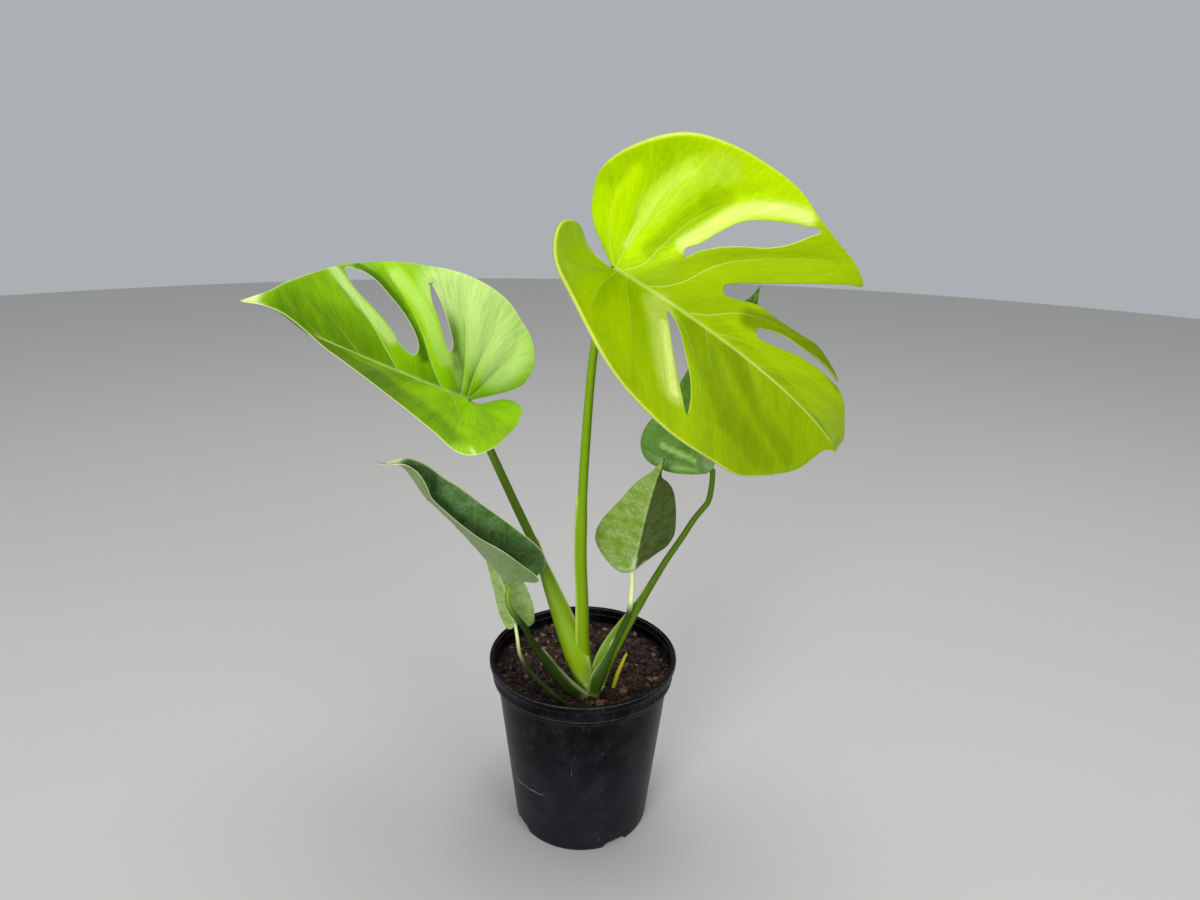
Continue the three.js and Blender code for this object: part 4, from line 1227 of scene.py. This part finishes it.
def leaf_finish(name, light, dark, pale, rim, under, shine=0.15, gloss=0.42, glow=0.1, veins=(0.06, 0.06),
                painted_bands=(0.1, 0.1), painted_half_shade=(EVEN, EVEN), rib=(0.4, 2), tip=(0.0, 95), margin=0.5,
                speckle=0.0, both=0.0):
    """Green skin with streaks along its veins, pale veins and a thin pale rim.

    Pairs are for the right and the left half. The darkening of a half is painted shade: how much a
    half is darkened at its base, how much more towards the tip, and from which root to which that
    grows. Between each pair of side veins the skin is painted lighter next to one vein and darker
    next to the other, at a strength for each half. "rib" is how much and how wide, "tip" is how much
    and from where, "margin" is how wide the rim is, and "both" shows the glints, painted highlights
    for the most part, on the underside as well.
    """
    finish = Finish(name, Subsurface_Weight=glow, Subsurface_Scale=0.0012, IOR=1.42,
                    Subsurface_Radius=(1.0, 1.0, 0.2), Specular_IOR_Level=shine)
    flat, grain_mark = finish.mark("flat"), finish.mark("grain")
    along = finish.parts(flat)[2]
    root, _, half = finish.parts(grain_mark)
    vein, edge, midrib = finish.parts(finish.mark("lines"))
    painted_band, beside, out = finish.parts(finish.mark("sides"))
    glint, shadow, upper = (finish.value(key) for key in ("glint", "shadow", "upper"))
    on_right = finish.span(half, -1, 1)
    streaks, fine, broad = (
        finish.noise(finish.scaled(grain_mark, (1, drawn_out, 1)), *size)
        for drawn_out, *size in ((0.06, 1.4, 4, 0.65, 0.4), (0.1, 0.5, 2, 0.6), (0.3, 16, 2, 0.5, 0.6))
    )
    blots = finish.noise(flat, 2.2, 4, 0.7)

    # The skin runs from dark to light with its streaks, and is darker towards the tip. The shadow
    # strips are painted shade, and between each pair of side veins the skin is painted lighter next
    # to one vein and darker next to the other: painted light and shade of the puffed skin.
    shade = finish.linear(broad, 0.8, -0.57)
    for part, much in ((streaks, 0.8), (blots, 0.24), (fine, 0.5), (shadow, -0.4)):
        shade = finish.linear(part, much, shade)
    shade = finish.linear(painted_band, finish.pick(on_right, painted_bands), shade)
    shade = finish.linear(finish.span(along, 45, 100), -0.2, shade)
    shade = finish.math("MAXIMUM", 0.0, finish.math("MINIMUM", 1.0, shade))
    skin = finish.mix(shade, dark, light)
    skin = finish.coat(skin, under, finish.span(upper, 0.2, -0.6))
    # Painted shade: each half is darkened towards black by its given amounts, and more under the shadow
    # strips.
    dims = [finish.linear(finish.span(root, low, high), more, start) for start, more, low, high in painted_half_shade]
    lit = finish.math("SUBTRACT", 1.0, finish.pick(on_right, dims))
    lit = finish.times(lit, finish.linear(shadow, -0.55, 1.0))
    skin = finish.mix(lit, BLACK, skin)
    # Painted highlights: the glints lay the pale colour over the skin, apart from a few that are real pale
    # marks.
    glint = finish.times(glint, finish.math("MAXIMUM", finish.span(upper, -0.2, 0.6), both))
    skin = finish.coat(skin, pale, glint, finish.linear(finish.span(streaks, 0.3, 0.7), 0.3, 0.6))

    if speckle:
        flecks = finish.noise(flat, 1.3, 5, 0.8, 2.0)
        patches = finish.noise(flat, 12, 3, 0.65)
        flecks = finish.times(finish.span(flecks, 0.47, 0.6), lit)
        flecks = finish.times(flecks, finish.span(patches, 0.34, 0.56))
        skin = finish.coat(skin, pale, flecks, speckle)

    # The side veins are plainest near the midrib, and the two halves show them differently.
    shown = finish.linear(finish.span(out, 0.15, 0.8), -0.75, 1.0)
    shown = finish.times(shown, finish.pick(on_right, veins))
    width = finish.linear(out, -0.5, 0.95)
    vein_line = finish.span(finish.math("DIVIDE", vein, width), 1.0, 0.25)
    skin = finish.coat(skin, pale, vein_line, shown)
    # Painted shade in the vein grooves: the dark strip just tip-ward of each vein.
    skin = finish.coat(skin, dark, beside, finish.times(shown, 0.6))
    skin = finish.coat(skin, pale, finish.span(midrib, rib[1], 0.3 * rib[1]), rib[0])
    skin = finish.coat(skin, rim, finish.span(along, tip[1], tip[1] + 4), tip[0])
    skin = finish.coat(skin, rim, finish.span(edge, margin, 0.2 * margin), 0.7)

    roughness = finish.linear(blots, 0.16, gloss - 0.08)
    height = finish.linear(fine, 0.3, finish.linear(blots, 0.35, streaks))
    return finish.wear(skin, roughness, finish.bump(height, 0.16))


def stalk_finish(name, low, high, pale, turns=(0.1, 0.95), shade=0.5, painted_shade_side=-1):
    """A juicy green stalk, with fine lines along it and a pale papery edge to its sheath.

    It turns from its low to its high colour between two shares of its length, and one side is
    darkened by painted shade.
    """
    finish = Finish(name, Subsurface_Weight=0.15, Subsurface_Scale=0.002, IOR=1.42,
                    Subsurface_Radius=(1.0, 1.0, 0.3), Specular_IOR_Level=0.14)
    shaded = tuple(v * 0.5 for v in low[:3]) + (1,)
    around = finish.mark("round")
    share = finish.value("share")
    fine = finish.noise(finish.scaled(around, (1, 1, 0.035)), 0.5, 3, 0.6)
    blots = finish.noise(finish.scaled(around, (1, 1, 0.4)), 5, 3, 0.6)
    specks = finish.noise(around, 0.7, 3, 0.7)
    streaks = finish.linear(fine, 0.5, finish.times(blots, 0.45))
    # Painted shade: one side of the stalk is darkened, left or right by the given sign.
    painted_side_shade = finish.span(finish.parts(around)[0], painted_shade_side * 0.8, painted_shade_side * 4.0)
    skin = finish.mix(finish.span(share, *turns), low, high)
    skin = finish.coat(skin, shaded, finish.span(streaks, 0.45, 0.25), 0.4)
    skin = finish.coat(skin, shaded, painted_side_shade, shade)
    skin = finish.coat(skin, pale, finish.span(specks, 0.6, 0.75), 0.15)
    skin = finish.coat(skin, colour(168, 186, 84), finish.span(share, 0.09, 0.0), 0.55)
    skin = finish.coat(skin, pale, finish.value("ridge"), 0.8)
    roughness = finish.linear(blots, 0.2, 0.3)
    return finish.wear(skin, roughness, finish.bump(finish.math("ADD", fine, blots), 0.18))


def crown_finish():
    """Pale green skin, with earth on its foot."""
    finish = Finish("crown_skin", Subsurface_Weight=0.2, Subsurface_Scale=0.002, IOR=1.42,
                    Specular_IOR_Level=0.25)
    place = finish.place()
    rings = finish.noise(finish.scaled(place, (0.15, 0.15, 1)), 2.4, 3, 0.6)
    blots = finish.noise(place, 3, 4, 0.65)
    skin = finish.mix(finish.span(blots, 0.35, 0.65), colour(140, 160, 60), colour(176, 190, 96))
    height = finish.math("ADD", finish.linear(blots, 6.0, -3.0), finish.parts(place)[2])
    skin = finish.coat(skin, colour(58, 42, 28), finish.span(height, 152, 148))
    roughness = finish.linear(blots, 0.2, 0.5)
    return finish.wear(skin, roughness, finish.bump(finish.math("ADD", rings, blots), 0.25))


MOULDED_LINES = (BAND_BOTTOM + 0.4, BAND_BOTTOM + 3.9, LIP_BOTTOM - 0.6, POT_HEIGHT - 1)
SCRATCH_FROM = (-202, -190)      # round the wall, in millimetres from the right
SCRATCH_TO = (-152, -160)
SCRATCH_RISE = (0.064, 12.8)


def pot_finish():
    """Thin moulded black plastic, scuffed and dusty."""
    finish = Finish("black_pot_plastic", IOR=1.5, Specular_IOR_Level=0.07)
    place = finish.place()
    x, y, height = finish.parts(place)
    turned = finish.times(finish.math("ARCTAN2", y, x), 75.0)
    wrap = finish.node("ShaderNodeCombineXYZ", {0: turned, 1: 0.0, 2: height}).outputs[0]
    grainy = finish.noise(place, 0.45, 3, 0.6)
    cloud = finish.noise(place, 22, 3, 0.55)
    scuffs = finish.noise(finish.scaled(wrap, (1, 1, 0.1)), 0.9, 4, 0.7, 0.8)
    dust = finish.noise(place, 1.6, 4, 0.75)
    rubs = finish.times(finish.span(scuffs, 0.6, 0.7), finish.span(cloud, 0.42, 0.62))
    # Painted shade and light: the wall is darker high up, under the rim, and paler low down, where light
    # bounces off the floor.
    skin = finish.mix(finish.span(height, 134, 50), colour(2, 2, 4), colour(25, 24, 30))
    skin = finish.coat(skin, colour(40, 38, 46), finish.span(cloud, 0.35, 0.7), 0.3)
    skin = finish.coat(skin, colour(120, 116, 116), rubs, 0.5)

    # One long scratch slants round the wall, and thin pale lines along the moulded edges are painted
    # highlights.
    drift = finish.linear(finish.noise(place, 5, 3, 0.6), 5.0, 52.0)
    track = finish.math("ADD", drift, finish.linear(turned, *SCRATCH_RISE))
    ends = finish.times(finish.span(turned, *SCRATCH_FROM), finish.span(turned, *SCRATCH_TO))
    scratch = finish.times(finish.span(finish.off(height, track), 0.7, 0.2), ends)
    scratch = finish.times(scratch, finish.span(dust, 0.35, 0.6))
    skin = finish.coat(skin, colour(150, 148, 150), scratch, 0.7)
    for line in MOULDED_LINES:
        edge_highlight = finish.times(finish.span(finish.off(height, line), 0.7, 0.1), finish.span(dust, 0.3, 0.6))
        skin = finish.coat(skin, colour(120, 118, 122), edge_highlight, 0.25)
    dusty = finish.times(finish.span(dust, 0.55, 0.75), finish.span(cloud, 0.4, 0.62))
    skin = finish.coat(skin, colour(126, 118, 110), dusty, 0.16)
    roughness = finish.linear(rubs, 0.25, finish.linear(cloud, 0.14, 0.26))
    return finish.wear(skin, roughness, finish.bump(finish.math("ADD", grainy, scuffs), 0.07))


def mix_finish():
    """Dark peaty mix."""
    finish = Finish("peat", IOR=1.4)
    place = finish.place()
    coarse = finish.noise(place, 4, 5, 0.65)
    fine = finish.noise(place, 0.9, 4, 0.7)
    skin = finish.mix(finish.span(coarse, 0.3, 0.7), colour(16, 10, 8), colour(62, 42, 32))
    skin = finish.coat(skin, colour(104, 74, 54), finish.span(fine, 0.55, 0.8), 0.5)
    roughness = finish.linear(fine, 0.2, 0.72)
    return finish.wear(skin, roughness, finish.bump(finish.math("ADD", coarse, fine), 1.2))


def crumb_finish(name, dark, light, pale, share):
    """Broken bits of one kind, each of its own shade, and a share of them pale."""
    finish = Finish(name, IOR=1.4)
    fine = finish.noise(finish.place(), 0.8, 4, 0.7)
    tint = finish.math("POWER", finish.value("tint"), 2.0)
    skin = finish.mix(tint, dark, light)
    skin = finish.coat(skin, pale, finish.span(tint, 1 - share, 1), 0.9)
    skin = finish.coat(skin, light, finish.span(fine, 0.5, 0.75), 0.35)
    roughness = finish.linear(fine, 0.2, 0.7)
    return finish.wear(skin, roughness, finish.bump(fine, 0.5))


# ---------------------------------------------------------------- assembly

BLADE_LOOKS = {
    "top_leaf": leaf_finish(
        "young_leaf_skin", light=colour(216, 250, 0), dark=colour(154, 198, 0), pale=colour(240, 250, 146),
        rim=colour(244, 248, 140), under=colour(150, 184, 60), shine=0.06, glow=0.25, veins=(0.1, 0.28),
        painted_bands=(0.15, -0.15), painted_half_shade=((0.38, 0.16, 50, 110), (0.06, 0.34, 4, 22)), rib=(0.32, 2.4)),
    "left_leaf": leaf_finish(
        "grown_leaf_skin", light=colour(168, 222, 0), dark=colour(98, 148, 0), pale=colour(214, 240, 150),
        rim=colour(236, 242, 170), under=colour(128, 166, 84), shine=0.14, glow=0.25, veins=(0.6, 0.25),
        painted_bands=(0.35, 0.05), painted_half_shade=((0, 0.1, 25, 70), (0, 0.36, 18, 66)), rib=(0.5, 3.2), tip=(0.8, 92),
        margin=0.8),
    "low_leaf": leaf_finish(
        "low_leaf_skin", light=colour(76, 118, 50), dark=colour(44, 78, 28), pale=colour(176, 196, 156),
        rim=colour(222, 230, 176), under=colour(104, 130, 72), rib=(0.3, 2), tip=(0.75, 84), margin=0.9,
        speckle=0.42),
    "small_leaf": leaf_finish(
        "small_leaf_skin", light=colour(140, 170, 90), dark=colour(108, 140, 66),
        pale=colour(196, 214, 156), rim=colour(170, 196, 120), under=colour(116, 148, 68), speckle=0.7),
    "upright_leaf": leaf_finish(
        "upright_leaf_skin", light=colour(84, 112, 40), dark=colour(54, 80, 14), pale=colour(196, 212, 160),
        rim=colour(150, 176, 110), under=colour(114, 146, 40), shine=0.05, painted_half_shade=(EVEN, (0.72, 0, 5, 25)),
        rib=(0.12, 1.6), speckle=0.8, both=1.0),
    "rear_leaf": leaf_finish(
        "rear_leaf_skin", light=colour(92, 144, 30), dark=colour(42, 82, 16), pale=colour(176, 214, 116),
        rim=colour(104, 140, 60), under=colour(108, 148, 52), gloss=0.3, shine=0.2, painted_bands=(0.2, 0.2),
        speckle=0.4, both=1.0),
}
STALK_LOOKS = {
    "top_leaf": stalk_finish(
        "young_stalk_skin", colour(116, 148, 0), colour(124, 162, 0), colour(204, 220, 110), shade=0.7,
        painted_shade_side=1),
    "left_leaf": stalk_finish(
        "grown_stalk_skin", colour(126, 160, 8), colour(84, 116, 22), colour(206, 220, 130),
        turns=(0.1, 0.5), shade=0.75),
    "low_leaf": stalk_finish(
        "low_stalk_skin", colour(30, 46, 6), colour(128, 160, 52), colour(150, 174, 110),
        turns=(0.7, 0.98)),
    "small_leaf": stalk_finish(
        "small_stalk_skin", colour(30, 46, 4), colour(220, 232, 160), colour(226, 236, 180),
        turns=(0.6, 0.92)),
    "upright_leaf": stalk_finish(
        "upright_stalk_skin", colour(46, 72, 8), colour(226, 240, 172), colour(160, 190, 110),
        turns=(0.68, 0.8), shade=0.3, painted_shade_side=1),
    "rear_leaf": stalk_finish(
        "rear_stalk_skin", colour(112, 148, 14), colour(74, 104, 12), colour(170, 196, 110),
        turns=(0.12, 0.45), painted_shade_side=1),
}
SHOOT_LOOK = stalk_finish("new_shoot_skin", colour(150, 150, 20), colour(176, 170, 30), colour(210, 200, 90))
PEAT = crumb_finish("peat_crumbs", colour(20, 13, 10), colour(88, 60, 46), colour(146, 112, 86), 0.16)
BARK = crumb_finish("bark", colour(40, 26, 18), colour(96, 62, 42), colour(150, 104, 76), 0.15)
COIR = crumb_finish("coir", colour(84, 56, 40), colour(142, 104, 76), colour(190, 156, 120), 0.25)

for leaf_name in LEAVES:
    leaf_piece(leaf_name, BLADE_LOOKS[leaf_name])
    stalk_piece(leaf_name, STALK_LOOKS[leaf_name])
crown_piece(crown_finish())
shoot_piece(SHOOT_LOOK)
pot_piece(pot_finish())
soil_piece(mix_finish())
crumb_piece("fine_crumbs", PEAT, seed=7, count=3200, low=0.5, high=4.4, flatness=0.7)
crumb_piece("bark_chips", BARK, seed=11, count=240, low=1.6, high=4.6, flatness=0.35)
fibre_piece("coir_fibres", COIR, seed=5, count=800, longest=19)

# ---------------------------------------------------------------- stage, light and camera

FLOOR_REACH = 4
FLOOR_SIDES = 96
floor_mesh = bpy.data.meshes.new("floor")
floor_mesh.from_pydata(ring_points(FLOOR_REACH, 0, FLOOR_SIDES), [], [tuple(range(FLOOR_SIDES))])
floor = bpy.data.objects.new("floor", floor_mesh)
bpy.context.scene.collection.objects.link(floor)
floor_look = bpy.data.materials.new("pale_floor")
floor_look.use_nodes = True
floor_shader = floor_look.node_tree.nodes["Principled BSDF"]
floor_shader.inputs["Base Color"].default_value = colour(204, 202, 198)
floor_shader.inputs["Roughness"].default_value = 0.7
floor_mesh.materials.append(floor_look)

world = bpy.data.worlds.new("studio")
world.use_nodes = True
background = world.node_tree.nodes["Background"]
background.inputs["Color"].default_value = (0.86, 0.9, 0.94, 1)
background.inputs["Strength"].default_value = 0.48
bpy.context.scene.world = world
bpy.context.scene.view_settings.view_transform = "Standard"


def soft_light(name, place, target, size, power):
    """A round lamp of a given size in metres and power in watts, turned to its target."""
    lamp = bpy.data.lights.new(name, "AREA")
    lamp.shape = "DISK"
    lamp.size = size
    lamp.energy = power
    thing = bpy.data.objects.new(name, lamp)
    bpy.context.scene.collection.objects.link(thing)
    thing.location = place
    thing.rotation_euler = (Vector(target) - Vector(place)).to_track_quat("-Z", "Y").to_euler()


soft_light("key", (-1.0, -2.3, 0.95), (0, 0, 0.38), 1.2, 38)
soft_light("fill", (1.6, -1.8, 1.2), (0, 0, 0.35), 1.5, 16)
soft_light("top", (0.1, 0.2, 2.2), (0, 0, 0.3), 1.2, 15)

CAMERA_PLACE = Vector((11.5, -646.5, 569.7)) * MM
CAMERA_PITCH = math.radians(18.53)
CAMERA_ROLL = math.radians(1.115)
CAMERA_FOCAL_PIXELS = 835
PHOTO_WIDTH = 1200
forward = Vector((0, math.cos(CAMERA_PITCH), -math.sin(CAMERA_PITCH)))
level = Vector((1, 0, 0))
upright = level.cross(forward)
right = level * math.cos(CAMERA_ROLL) + upright * math.sin(CAMERA_ROLL)
above = upright * math.cos(CAMERA_ROLL) - level * math.sin(CAMERA_ROLL)
lens = bpy.data.cameras.new("photo_view")
lens.sensor_width = 36
lens.lens = lens.sensor_width * CAMERA_FOCAL_PIXELS / PHOTO_WIDTH
camera = bpy.data.objects.new("photo_view", lens)
bpy.context.scene.collection.objects.link(camera)
turned = Matrix((right, above, -forward)).transposed().to_4x4()
camera.matrix_world = Matrix.Translation(CAMERA_PLACE) @ turned
bpy.context.scene.camera = camera
